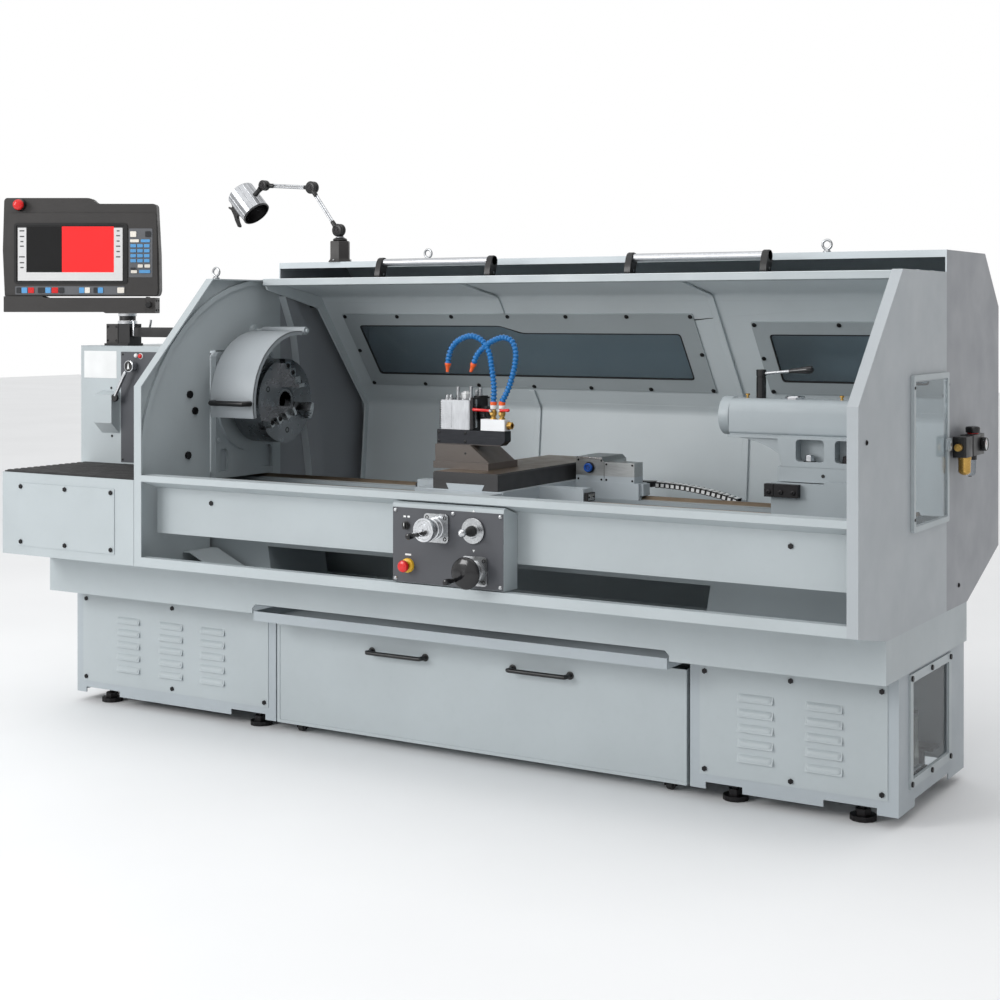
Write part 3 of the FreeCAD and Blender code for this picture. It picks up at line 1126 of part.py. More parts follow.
doc.recompute()
problems = 0
for thing in doc.Objects:
    if "Invalid" in thing.State or "Error" in thing.State:
        print("not sound:", thing.Name, thing.State)
        problems += 1
for part in nodes:
    if part.Shape.isNull() or not part.Shape.isValid():
        print("bad shape:", part.Label)
        problems += 1
if problems:
    raise RuntimeError(f"{problems} pieces are not sound")

box = FreeCAD.BoundBox()
for part in nodes:
    box.add(part.Shape.BoundBox)
print("size", [round(v, 1) for v in (box.XLength, box.YLength, box.ZLength)])
print("centre", [round(v, 2) for v in (box.Center.x, box.Center.y)], "foot", round(box.ZMin, 2))

os.makedirs("parts", exist_ok=True)
for part in nodes:
    part.Shape.exportStep(f"parts/{part.Label}.step")
print(len(nodes), "nodes")
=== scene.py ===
"""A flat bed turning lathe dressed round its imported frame."""

import math

import bmesh
import bpy
from mathutils import Matrix, Vector
from mathutils.geometry import tessellate_polygon


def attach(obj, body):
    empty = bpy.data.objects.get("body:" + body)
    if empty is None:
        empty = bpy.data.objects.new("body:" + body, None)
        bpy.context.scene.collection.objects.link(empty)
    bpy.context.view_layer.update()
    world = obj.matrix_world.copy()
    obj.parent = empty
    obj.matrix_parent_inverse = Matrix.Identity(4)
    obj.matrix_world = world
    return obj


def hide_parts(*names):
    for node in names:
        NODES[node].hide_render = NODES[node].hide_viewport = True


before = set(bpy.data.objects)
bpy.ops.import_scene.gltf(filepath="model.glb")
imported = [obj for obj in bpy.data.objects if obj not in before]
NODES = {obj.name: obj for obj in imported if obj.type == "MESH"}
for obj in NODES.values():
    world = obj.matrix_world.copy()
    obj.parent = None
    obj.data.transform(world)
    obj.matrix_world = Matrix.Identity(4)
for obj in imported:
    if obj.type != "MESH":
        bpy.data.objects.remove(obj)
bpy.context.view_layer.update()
AXES = {"x": (0, 1, 2), "y": (1, 0, 2), "z": (2, 0, 1)}
SPINDLE = (0, 630, 1213)  # a point of the spindle's axis, which runs along X
SHARP = 38  # degrees between faces that leave a sharp edge


def place(x, y, z):
    """Millimetres of the layout, from the left end plate and the floor plate, in the row frame."""
    return Vector(((x - 952.17) / 1000, (y - 681.5) / 1000, (z + 35) / 1000))


def new_object(name, data):
    obj = bpy.data.objects.new(name, data)
    bpy.context.scene.collection.objects.link(obj)
    return obj


# ---------------------------------------------------------------- materials

def linear(value):
    value /= 255
    return value / 12.92 if value <= 0.04045 else ((value + 0.055) / 1.055) ** 2.4


def shade(colour, factor=1):
    """A colour read as 0 to 255 in the photograph, made linear and multiplied."""
    return tuple(min(1, linear(v) * factor) for v in colour) + (1.0,)


class Shader:
    """A principled material whose colour, roughness and height come from noise."""

    def __init__(self, name, **fixed):
        self.mat = bpy.data.materials.new(name)
        self.mat.use_nodes = True
        self.tree = self.mat.node_tree
        self.bsdf = self.tree.nodes["Principled BSDF"]
        for socket, value in fixed.items():
            self.bsdf.inputs[socket.replace("_", " ")].default_value = value
        self.coord = self.tree.nodes.new("ShaderNodeTexCoord").outputs["Object"]

    def link(self, a, b):
        self.tree.links.new(a, b)
        return self

    def scaled(self, stretch):
        node = self.tree.nodes.new("ShaderNodeMapping")
        node.inputs["Scale"].default_value = stretch
        self.link(self.coord, node.inputs["Vector"])
        return node.outputs["Vector"]

    def noise(self, scale, detail=3.0, stretch=(1, 1, 1), rough=0.5):
        node = self.tree.nodes.new("ShaderNodeTexNoise")
        node.inputs["Scale"].default_value = scale
        node.inputs["Detail"].default_value = detail
        node.inputs["Roughness"].default_value = rough
        self.link(self.scaled(stretch), node.inputs["Vector"])
        return node.outputs["Fac"]

    def ramp(self, fac, *stops):
        node = self.tree.nodes.new("ShaderNodeValToRGB")
        elements = node.color_ramp.elements
        while len(elements) < len(stops):
            elements.new(0.5)
        for element, (position, colour) in zip(elements, stops):
            element.position, element.color = position, colour
        self.link(fac, node.inputs["Fac"])
        return node.outputs["Color"]

    def span(self, fac, low, high, start=0.3, end=0.7):
        node = self.tree.nodes.new("ShaderNodeMapRange")
        for socket, value in zip(("From Min", "From Max", "To Min", "To Max"), (start, end, low, high)):
            node.inputs[socket].default_value = value
        self.link(fac, node.inputs["Value"])
        return node.outputs["Result"]

    def tone(self, fac, colour, low, high, start=0.3, end=0.7):
        """A colour that goes from low to high times its value as a noise rises."""
        return self.ramp(fac, (start, shade(colour, low)), (end, shade(colour, high)))

    def mix(self, fac, a, b):
        node = self.tree.nodes.new("ShaderNodeMix")
        node.data_type = "RGBA"
        for socket, value in ((0, fac), (6, a), (7, b)):
            if isinstance(value, (int, float, tuple)):
                node.inputs[socket].default_value = value
            else:
                self.link(value, node.inputs[socket])
        return node.outputs[2]

    def part(self, vector, axis):
        node = self.tree.nodes.new("ShaderNodeSeparateXYZ")
        self.link(vector, node.inputs[0])
        return node.outputs["XYZ".index(axis)]

    def above(self, level, soft=0.002):
        """0 below a height in the row frame, 1 above it."""
        return self.span(self.part(self.coord, "Z"), 0, 1, level - soft, level + soft)

    def facing(self, axis):
        """1 where a face looks along an axis."""
        geometry = self.tree.nodes.new("ShaderNodeNewGeometry")
        return self.span(self.part(geometry.outputs["Normal"], axis), 0, 1, 0.85, 0.97)

    def metallic(self, value):
        return self.link(value, self.bsdf.inputs["Metallic"])

    def colour(self, value):
        return self.link(value, self.bsdf.inputs["Base Color"])

    def roughness(self, value):
        return self.link(value, self.bsdf.inputs["Roughness"])

    def bump(self, height, strength, distance):
        node = self.tree.nodes.new("ShaderNodeBump")
        node.inputs["Strength"].default_value = strength
        node.inputs["Distance"].default_value = distance
        self.link(height, node.inputs["Height"])
        return self.link(node.outputs["Normal"], self.bsdf.inputs["Normal"])

    def enamel(self, colour, low=0.34, high=0.5):
        """Gives the material this colour with the sheen and orange peel of sprayed enamel."""
        self.colour(colour)
        self.roughness(self.span(self.noise(9, 4), low, high))
        return self.bump(self.noise(330, 2), 0.10, 0.0004).mat


def paint(name, colour, low=0.34, high=0.5, spread=0.05):
    """Sprayed machine enamel, with a slow change of tone and a little dust."""
    s = Shader(name)
    tone = s.tone(s.noise(2.2, 4), colour, 1 - spread, 1 + spread)
    dust = s.span(s.noise(38, 5, rough=0.65), 0, 0.10, 0.52, 0.75)
    return s.enamel(s.mix(dust, tone, shade(colour, 0.78)), low, high)


def door_painted_light(name, inside, outside):
    """Enamel with painted light: the faces that an open door turns to the operator take a lighter colour."""
    s = Shader(name)
    toward = s.tree.nodes.new("ShaderNodeVectorMath")
    toward.operation = "DOT_PRODUCT"
    toward.inputs[1].default_value = (0, -0.7, -0.7)
    s.link(s.tree.nodes.new("ShaderNodeTexCoord").outputs["Normal"], toward.inputs[0])
    mask = s.span(toward.outputs["Value"], 0, 1, -0.1, 0.1)
    return s.enamel(s.mix(mask, shade(outside), s.tone(s.noise(2.2, 4), inside, 0.95, 1.05)))


def cover_painted_light(name, inside, end, top):
    """Enamel with painted light and shade: faces that look to the right or up take darker colours, the other
    faces a lighter one.
    """
    s = Shader(name)
    tone = s.tone(s.noise(2.2, 4), inside, 0.96, 1.04)
    return s.enamel(s.mix(s.facing("Z"), s.mix(s.facing("X"), tone, shade(end)), shade(top)))


def metal(name, colour, low, high, grain=(1, 1, 1), scale=220, strength=0.08):
    """Machined steel with grain along one direction."""
    s = Shader(name, Metallic=1.0)
    lines = s.noise(scale, 3, grain)
    tone = s.tone(lines, colour, 0.82, 1.12, 0.25, 0.75)
    stain = s.span(s.noise(14, 5), 0, 0.22, 0.5, 0.75)
    s.colour(s.mix(stain, tone, shade(colour, 0.62)))
    s.roughness(s.span(s.noise(30, 4), low, high))
    return s.bump(lines, strength, 0.0003).mat


def plastic(name, colour, low=0.3, high=0.45, grain=900, strength=0.12):
    """Moulded plastic with a fine spark-eroded grain."""
    s = Shader(name)
    s.colour(s.tone(s.noise(6, 3), colour, 0.9, 1.1))
    s.roughness(s.span(s.noise(25, 3), low, high))
    return s.bump(s.noise(grain, 2), strength, 0.0002).mat


def clear(name, colour, rough=0.04, ior=1.46, through=0.92):
    """A clear sheet with a few smears."""
    s = Shader(name, Transmission_Weight=through, IOR=ior)
    smear = s.noise(5, 4)
    s.colour(s.tone(smear, colour, 0.96, 1))
    s.roughness(s.span(smear, rough, rough + 0.05))
    return s.mat


def screen(name, colour, glow):
    """A lit area of the display."""
    s = Shader(name, Emission_Strength=glow, Specular_IOR_Level=0.4)
    tone = s.tone(s.noise(1400, 1), colour, 0.94, 1.04)
    s.colour(tone)
    s.link(tone, s.bsdf.inputs["Emission Color"])
    s.roughness(s.span(s.noise(8, 3), 0.18, 0.28))
    return s.mat


FRONT = paint("enamel_front", (172, 180, 183))
LAMP_METAL = metal("lamp_metal", (178, 180, 183), 0.3, 0.4, scale=40, strength=0.01)
# A darker copy of the front enamel: painted shade for the pedestals and the chip drawer.
SHADED_SIDE = paint("enamel_side_painted_shade", (166, 174, 179))
# A lighter copy of the front enamel: painted light on the door's faces that look to the operator.
LIT_INNER = door_painted_light("enamel_inner_painted_light", (212, 220, 223), (172, 180, 183))
# Painted light and shade on the rear cover: lighter on most faces, darker on the faces that look to the right
# or up.
REAR_PAINTED_LIGHT = cover_painted_light("enamel_rear_painted_light", (198, 206, 210), (142, 145, 150), (156, 160, 163))
# A darker copy of the front enamel: painted shade on the right end plate, which faces away from the light.
END = paint("enamel_end_painted_shade", (166, 172, 176))
GUARD = paint("enamel_guard", (152, 158, 162))
CAST = paint("enamel_cast", (158, 166, 170), 0.38, 0.55, 0.07)
BLACK = plastic("black_plastic", (17, 17, 18))
GLOSS_BLACK = plastic("gloss_black", (20, 20, 22), 0.12, 0.2, 500, 0.04)
RUBBER = plastic("rubber", (34, 34, 35), 0.6, 0.8, 500, 0.3)
RED = plastic("red_plastic", (205, 28, 28), 0.2, 0.3, 500, 0.05)
YELLOW = plastic("yellow_plastic", (226, 178, 38), 0.35, 0.45)
BLUE = plastic("blue_plastic", (20, 92, 190), 0.3, 0.42)
ORANGE = plastic("orange_plastic", (226, 92, 34), 0.3, 0.42)
WHITE = plastic("white_plastic", (222, 224, 224), 0.35, 0.45)
STEEL = metal("steel", (176, 178, 180), 0.2, 0.34)
PLATE = paint("control_plate", (70, 72, 77), 0.45, 0.6, 0.03)
LOUVRE = paint("louvre_shadow", (70, 76, 80), 0.5, 0.7)
CASE = plastic("pendant_case", (48, 46, 45), 0.42, 0.6, 700, 0.25)
KEYS = plastic("keypad_plate", (92, 94, 98), 0.4, 0.5)
KEY_BLUE = plastic("key_blue", (86, 152, 205), 0.35, 0.45, 500, 0.05)
KEY_WHITE = plastic("key_white", (226, 220, 210), 0.35, 0.45, 500, 0.05)
KEY_DARK = plastic("key_dark", (34, 36, 40), 0.35, 0.45, 500, 0.05)
GREY_GLASS = screen("display_grey", (196, 196, 196), 0.25)
SCREEN_BLACK = screen("display_black", (4, 4, 5), 0.0)
SCREEN_RED = screen("display_red", (228, 32, 34), 0.45)
SCREEN_MARK = screen("display_mark", (70, 70, 72), 0.0)
OXIDE = metal("black_oxide", (52, 51, 52), 0.34, 0.5)
CHROME = metal("chrome", (205, 207, 210), 0.1, 0.2, strength=0.02)
ALU = metal("satin_aluminium", (188, 190, 193), 0.3, 0.42, strength=0.05)
BRASS = metal("brass", (196, 158, 88), 0.22, 0.36)
PANE = clear("pane", (205, 220, 228))
PANE_CLEAR = clear("clear_pane", (232, 238, 241), 0.02, 1.12, 0.98)
TANK_CLEAR = clear("tank_plastic", (226, 226, 214), 0.12)
HOSE = plastic("hose_blue", (12, 104, 168), 0.16, 0.26, 600, 0.04)
WHITE_METAL = plastic("white_block", (224, 226, 228), 0.3, 0.4, 500, 0.05)
BRIGHT = metal("milled_aluminium", (178, 180, 183), 0.28, 0.4, (1, 1, 0.05), 500, 0.06)


def turned(name, colour):
    """Face-turned steel, whose highlights spread along the tool marks."""
    s = Shader(name, Metallic=1.0, Anisotropic=0.8)
    tangent = s.tree.nodes.new("ShaderNodeTangent")
    tangent.direction_type = "RADIAL"
    tangent.axis = "X"
    s.link(tangent.outputs[0], s.bsdf.inputs["Tangent"])
    s.colour(s.tone(s.noise(9, 4), colour, 0.85, 1.12))
    s.roughness(s.span(s.noise(40, 3), 0.24, 0.36))
    return s.bump(s.noise(700, 2), 0.03, 0.0002).mat


def two_tone(name, colour, ground, level=None):
    """Enamel with bare ground metal above a level, or on the upward faces where none is given."""
    s = Shader(name)
    mask = s.above(level) if level else s.facing("Z")
    tone = s.tone(s.noise(2.5, 4), colour, 0.94, 1.05)
    lines = s.noise(400, 3, (0.05, 1, 1))
    metal_tone = s.tone(lines, ground, 0.8, 1.15, 0.25, 0.75)
    s.colour(s.mix(mask, tone, metal_tone))
    s.metallic(s.span(mask, 0, 1, 0, 1))
    s.roughness(s.span(s.noise(20, 4), 0.3, 0.46))
    return s.bump(lines, 0.05, 0.0003).mat


TURNED = turned("turned_steel", (128, 130, 133))
BED = two_tone("bed_ways", (150, 158, 162), (138, 122, 104), 0.930)
CROSS = two_tone("cross_slide_top", (44, 43, 44), (150, 132, 116))
SADDLE = two_tone("saddle_top", (172, 180, 185), (176, 178, 178), 1.0088)
RISER = two_tone("riser_tones", (84, 77, 72), (50, 51, 54), 1.1335)


# ---------------------------------------------------------------- mesh pieces

def turns_left(points):
    """Whether an outline runs anticlockwise."""
    ahead = points[1:] + points[:1]
    return sum(p[0] * q[1] - q[0] * p[1] for p, q in zip(points, ahead)) > 0


class Piece:
    """Solids of one named piece in layout millimetres. Where turn is set, it moves what is added."""

    def __init__(self, name, body, slot, *mats):
        self.name, self.body, self.slot, self.mats = name, body, slot, mats
        self.verts, self.faces, self.index = [], [], []
        self.turn = None

    def add(self, verts, faces, m=0):
        start = len(self.verts)
        for v in verts:
            v = Vector(v)
            self.verts.append(self.turn @ v if self.turn else v)
        self.faces += [[start + i for i in face] for face in faces]
        self.index += [m] * len(faces)
        return self

    def prism(self, axis, loops, low, high, m=0):
        """Pushes one outline, with its holes, along an axis."""
        if not isinstance(loops[0][0], (list, tuple, Vector)):
            loops = [loops]
        a, b, c = AXES[axis]
        flat = [p for loop in loops for p in loop]
        count = len(flat)
        verts = []
        for level in (low, high):
            for p in flat:
                v = [0, 0, 0]
                v[a], v[b], v[c] = level, p[0], p[1]
                verts.append(v)
        if len(loops) == 1 and len(flat) <= 4:
            caps = [list(range(count))]
        else:
            caps = [
                list(t)
                for t in tessellate_polygon([[Vector((p[0], p[1], 0)) for p in loop] for loop in loops])
            ]
        faces = []
        for cap in caps:
            up = cap if turns_left([flat[i] for i in cap]) == (axis != "y") else cap[::-1]
            faces.append([i + count for i in up])
            faces.append(up[::-1])
        start = 0
        for number, loop in enumerate(loops):
            n = len(loop)
            outward = (turns_left(loop) == (axis != "y")) == (number == 0)
            for i in range(n):
                p, q = start + i, start + (i + 1) % n
                quad = [p, q, q + count, p + count]
                faces.append(quad if outward else quad[::-1])
            start += n
        return self.add(verts, faces, m)

    def box(self, x, y, z, m=0):
        return self.prism("z", square(x, y), z[0], z[1], m)

    def lathe(self, axis, centre, profile, n=40, m=0):
        """Turns (along, radius) points about an axis through centre. A radius of 0 closes the end."""
        a, b, c = AXES[axis]
        verts, rings = [], []
        for along, radius in profile:
            count = n if radius else 1
            rings.append([len(verts) + i % count for i in range(n)])
            for i in range(count):
                angle = math.radians(360 * i / n)
                v = list(centre)
                v[a] += along
                v[b] += radius * math.cos(angle)
                v[c] += radius * math.sin(angle)
                verts.append(v)
        faces = []
        rising = profile[-1][0] >= profile[0][0]
        forward = rising == (axis != "y")
        for p, q in zip(rings, rings[1:]):
            for i in range(n):
                j = (i + 1) % n
                face = list(dict.fromkeys((p[i], p[j], q[j], q[i])))
                if len(face) > 2:
                    faces.append(face if forward else face[::-1])
        return self.add(verts, faces, m)

    def tube(self, path, radius, n=12, m=0, caps=True):
        """A round bar along points; radius is one number or one for each point."""
        path = [Vector(p) for p in path]
        radii = [radius] * len(path) if isinstance(radius, (int, float)) else radius
        verts, rings = [], []
        side = None
        for i, p in enumerate(path):
            ahead = (path[min(i + 1, len(path) - 1)] - path[max(i - 1, 0)]).normalized()
            if side is None:
                side = ahead.orthogonal().normalized()
            side = (side - ahead * side.dot(ahead)).normalized()
            up = ahead.cross(side)
            rings.append(list(range(len(verts), len(verts) + n)))
            for k in range(n):
                angle = 2 * math.pi * k / n
                verts.append(p + (side * math.cos(angle) + up * math.sin(angle)) * radii[i])
        faces = [
            [p[i], p[(i + 1) % n], q[(i + 1) % n], q[i]] for p, q in zip(rings, rings[1:]) for i in range(n)
        ]
        if caps:
            faces += [rings[0][::-1], rings[-1]]
        return self.add(verts, faces, m)

    def bolt(self, centre, axis, radius=7, height=4, out=1, m=0):
        """A button head with a six-sided socket."""
        lip = radius * 0.5
        profile = [
            (0, radius), (height * 0.45 * out, radius * 0.97), (height * 0.85 * out, radius * 0.75),
            (height * out, lip), (height * 0.4 * out, lip * 0.95), (height * 0.4 * out, 0)
        ]
        return self.lathe(axis, centre, profile, 18, m)

    def done(self, bevel=0.0, segments=2, replaces=None, smooth=SHARP):
        """Makes the object, and says what it rides on and which node it replaces."""
        mesh = bpy.data.meshes.new(self.name)
        mesh.from_pydata([place(*v) for v in self.verts], [], self.faces)
        for material in self.mats:
            mesh.materials.append(material)
        mesh.polygons.foreach_set("material_index", self.index)
        mesh.validate()
        form = bmesh.new()
        form.from_mesh(mesh)
        bmesh.ops.recalc_face_normals(form, faces=form.faces)
        form.to_mesh(mesh)
        form.free()
        mesh.shade_smooth()
        mesh.set_sharp_from_angle(angle=math.radians(smooth))
        obj = new_object(self.name, mesh)
        if bevel:
            soften(obj, bevel, segments)
        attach(obj, self.body)
        if replaces:
            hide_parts(replaces)
        return obj


def soften(obj, width, segments=2):
    """Rounds the edges, and shades the flats as flats."""
    bevel = obj.modifiers.new("edges", "BEVEL")
    bevel.width = width / 1000
    bevel.segments = segments
    bevel.limit_method = "ANGLE"
    bevel.angle_limit = math.radians(32)
    bevel.harden_normals = True
    bevel.use_clamp_overlap = True


# ---------------------------------------------------------------- camera, light and floor

# The camera was solved from the straight edges of the machine in the photograph.
camera = bpy.data.cameras.new("camera")
camera.sensor_width = 36
camera.lens = 61.578
camera.shift_x = 0.0004
camera.shift_y = -0.1795
camera.clip_end = 100
camera_object = new_object("camera", camera)
camera_object.location = place(4468, -4742, 1551)
camera_object.rotation_euler = (math.radians(89.83), 0, math.radians(31.226))
bpy.context.scene.camera = camera_object
bpy.context.scene.view_settings.view_transform = "Standard"


def area_light(name, location, target, power, size):
    light = bpy.data.lights.new(name, "AREA")
    light.energy = power
    light.shape = "RECTANGLE"
    light.size, light.size_y = size
    obj = new_object(name, light)
    obj.location = location
    obj.rotation_euler = (Vector(target) - Vector(location)).to_track_quat("-Z", "Y").to_euler()


area_light("key", (-3.5, -6.5, 3.6), (0.2, 0, 0.9), 225, (3, 2.5))
area_light("top", (0.5, -1.6, 5.5), (0, 0, 0.8), 60, (6, 4))

# The world is white on the left and grey on the right, so that the panes at the right end don't mirror white.
world = bpy.data.worlds.new("studio")
world.use_nodes = True
nodes, links = world.node_tree.nodes, world.node_tree.links
direction = nodes.new("ShaderNodeTexCoord")
across = nodes.new("ShaderNodeSeparateXYZ")
dimming = nodes.new("ShaderNodeValToRGB")
for element, position, colour in zip(
    dimming.color_ramp.elements, (0.1, 0.9), ((1, 1, 1, 1), (0.36, 0.36, 0.37, 1))
):
    element.position, element.color = position, colour
links.new(direction.outputs["Generated"], across.inputs[0])
links.new(across.outputs["X"], dimming.inputs["Fac"])
links.new(dimming.outputs["Color"], nodes["Background"].inputs["Color"])
bpy.context.scene.world = world

floor_shader = Shader("studio_floor", Roughness=0.7)
floor_shader.colour(floor_shader.ramp(
    floor_shader.noise(0.8, 3), (0.3, shade((236, 237, 238))), (0.7, shade((240, 241, 242)))
))
floor_mesh = bpy.data.meshes.new("floor")
REACH, SUNK = 30, -0.001
floor_mesh.from_pydata([
    (-REACH, -REACH, SUNK), (REACH, -REACH, SUNK), (REACH, REACH, SUNK), (-REACH, REACH, SUNK)
], [], [(0, 1, 2, 3)])
floor_mesh.materials.append(floor_shader.mat)
floor = new_object("floor", floor_mesh)


# ---------------------------------------------------------------- outlines

def around(centre, radius, degrees):
    """The point at this angle on a circle."""
    angle = math.radians(degrees)
    return centre[0] + radius * math.cos(angle), centre[1] + radius * math.sin(angle)


def arc(centre, radius, first, last, n):
    """Points along a circle from one angle to another."""
    return [around(centre, radius, first + (last - first) * i / n) for i in range(n + 1)]


def rounded(points, radius, n=4, closed=True):
    """An outline with its corners rounded; radius is one number or one for each corner."""
    count = len(points)
    radii = [radius] * count if isinstance(radius, (int, float)) else radius
    result = []
    for i, point in enumerate(points):
        if not closed and i in (0, count - 1) or radii[i] <= 0:
            result.append(tuple(point))
            continue
        here = Vector(point)
        back = Vector(points[i - 1]) - here
        ahead = Vector(points[(i + 1) % count]) - here
        reach = min(radii[i], back.length * 0.49, ahead.length * 0.49)
        start = here + back.normalized() * reach
        end = here + ahead.normalized() * reach
        for k in range(n + 1):
            t = k / n
            p = start * (1 - t) ** 2 + here * 2 * t * (1 - t) + end * t * t
            result.append((p.x, p.y))
    return result


def bent(points, thickness):
    """The outline of a folded sheet along points, thickened to their left."""
    vectors = [Vector(p) for p in points]
    normals = []
    for p, q in zip(vectors, vectors[1:]):
        d = (q - p).normalized()
        normals.append(Vector((-d.y, d.x)))
    far = []
    for i, p in enumerate(vectors):
        a, b = normals[max(i - 1, 0)], normals[min(i, len(normals) - 1)]
        far.append(tuple(p + (a + b) / (1 + a.dot(b)) * thickness))
    return [tuple(p) for p in vectors] + far[::-1]


def square(x, y):
    """A rectangle from its two spans."""
    return [(x[0], y[0]), (x[1], y[0]), (x[1], y[1]), (x[0], y[1])]


def cell(left, right, low, high, radius=3, n=3):
    """A rectangle with rounded corners."""
    return rounded(square((left, right), (low, high)), radius, n)


def smooth_path(points, step):
    """A curve through points, sampled at even steps."""
    points = [Vector(p) for p in points]
    ends = [points[0] * 2 - points[1]] + points + [points[-1] * 2 - points[-2]]
    fine = []
    for a, b, c, d in zip(ends, ends[1:], ends[2:], ends[3:]):
        for k in range(24):
            t = k / 24
            curve, twist = 2 * a - 5 * b + 4 * c - d, 3 * b - a - 3 * c + d
            fine.append(0.5 * (2 * b + (c - a) * t + curve * t * t + twist * t ** 3))
    fine.append(points[-1])
    result, left = [fine[0]], step
    for p, q in zip(fine, fine[1:]):
        length = (q - p).length
        while length >= left:
            p = p + (q - p).normalized() * left
            length -= left
            left = step
            result.append(p)
        left -= length
    return result


# ---------------------------------------------------------------- door

# X along the machine, Y down the door's middle panel from its upper crease, Z into the work space.
MIDDLE = Matrix((
    (1, 0, 0, 0), (0, 350 / 582.8, -466 / 582.8, 1080), (0, -466 / 582.8, -350 / 582.8, 1634), (0, 0, 0, 1)
))
DOOR_LINE = [(1400, 820), (1430, 1168), (1080, 1634), (700, 1700)]
LEFT_GLASS = [(190, 150), (885, 150), (985, 186), (1680, 186), (1680, 413), (190, 413)]
RIGHT_GLASS = [(2040, 186), (2600, 186), (2600, 413), (2040, 413)]
RIB_LINE = [(1398, 835), (1427, 1168), (1078, 1631), (740, 1690)]

SHEET = 3  # thickness of the door's sheet
DOOR_ENDS = (45, 2758)
HINGE = (750, 955)  # centre of the door's arc tracks

door = Piece("door_panel", "front_door", "front_door", LIT_INNER, FRONT)
lower = rounded(DOOR_LINE[:2] + [(1410, 1194.6)], [0, 16, 0], 5, False)
upper = rounded([(1100, 1607.4)] + DOOR_LINE[2:], [0, 16, 0], 5, False)
door.prism("x", bent(lower, SHEET), *DOOR_ENDS)
door.prism("x", bent(upper, SHEET), *DOOR_ENDS)
door.turn = MIDDLE
door.prism(
    "z", [square(DOOR_ENDS, (33.2, 549.6)), rounded(LEFT_GLASS, 16), rounded(RIGHT_GLASS, 16)], 0, SHEET
)
door.turn = None
door.prism("x", [(700.6, 1700.2), (698, 1673), (717, 1669), (719.6, 1696.5)], *DOOR_ENDS, 1)
for x in (45, 2750):
    inner = rounded([(1372, 829), (1401, 1157), (1058, 1582), (722, 1655)], [0, 12, 12, 0], 4, False)
    outer = rounded([(1397, 820.5), (1427, 1168), (1078, 1631), (700, 1697)], [0, 14, 14, 0], 4, False)
    door.prism("x", outer + inner[::-1], x, x + 8)
door.done(1.0, replaces="front_door")

ribs = Piece("door_ribs", "front_door", "front_door", LIT_INNER)
for x, parts in ((908, (RIB_LINE[:2] + [(1370, 1246)], [(1131, 1563)] + RIB_LINE[2:])), (1838, (RIB_LINE,))):
    for line in parts:
        radii = [0] + [18] * (len(line) - 2) + [0]
        ribs.prism("x", bent(rounded(line, radii, 5, False), 10), x, x + 26)
ribs.done(3.0, 3)

frames = Piece("window_frames", "front_door", "front_door", FRONT, BLACK)
frames.turn = MIDDLE
LEFT_EDGE = [(124, 92), (1755, 92), (1755, 475), (124, 475)]
RIGHT_EDGE = [(1980, 129), (2660, 129), (2660, 471), (1980, 471)]
for edge, glass in ((LEFT_EDGE, LEFT_GLASS), (RIGHT_EDGE, RIGHT_GLASS)):
    frames.prism("z", [rounded(edge, 6), rounded(glass, 16)], 3, 8)
frames.done(2.2, 3)

bolts = Piece("frame_bolts", "front_door", "door_fittings", BLACK, RUBBER)
bolts.turn = MIDDLE
BOLTS = [
    (x, d) for d in (104, 463) for x in (136, 404, 673, 941, 1207, 1475, 1743)
] + [(136, 286), (1743, 286)]
BOLTS += [(x, d) for d in (142, 459) for x in (1992, 2320, 2648)] + [(1992, 300), (2648, 300)]
for x, d in BOLTS:
    bolts.lathe("z", (x, d, 8), [
        (0, 9), (1.2, 9), (1.2, 7.5), (4.5, 7.2), (5.5, 5.8), (5.5, 3.4), (2.5, 3.2), (2.5, 0)
    ], 18)
for glass in (LEFT_GLASS, RIGHT_GLASS):
    middle = Vector((sum(p[0] for p in glass), sum(p[1] for p in glass))) / len(glass)
    outer = rounded(glass, 16)
    inset = [(x + (5 if x < middle.x else -5), d + (5 if d < middle.y else -5)) for x, d in outer]
    bolts.prism("z", [outer, inset], 0.5, 8.6, 1)
bolts.done()

glass = Piece("door_glass", "front_door", "door_windows", PANE)
glass.turn = MIDDLE
for outline in (LEFT_GLASS, RIGHT_GLASS):
    glass.prism("z", rounded(outline, 16), 0.6, 5.0)
glass.done(0.6, replaces="door_windows")

handles = Piece("door_handles", "front_door", "door_fittings", ALU, BLACK, STEEL)
for left, right in ((610, 1105), (1700, 2210)):
    handles.lathe("x", (left - 4, 742, 1757), [(0, 15), (right - left + 8, 15)])
    for x in (left - 16, right - 8):
        handles.prism("x", rounded([
            (704, 1699), (744, 1692), (752, 1716), (763, 1745), (765, 1762), (752, 1776), (732, 1775),
            (720, 1760), (708, 1726)
        ], 9, 4), x, x + 24, 1)
        handles.lathe("x", (x, 742, 1757), [(0, 0), (0, 17), (3, 20), (21, 20), (24, 17), (24, 0)], 28, 1)
        handles.lathe("x", (x - 1, 735, 1712), [(0, 0), (0, 5), (26, 5), (26, 0)], 12, 2)
for x in (10, 2758):
    for angle in (88, 64):
        y, z = around(HINGE, 710.1, angle)
        handles.lathe("x", (x, y, z), [
            (0, 0), (0, 8), (1, 9.6), (14, 9.6), (15, 8), (15, 5), (35, 5), (35, 0)
        ], 24, 1)
handles.done(1.6, 3, replaces="door_fittings")

# ---------------------------------------------------------------- chuck, jaws and guard

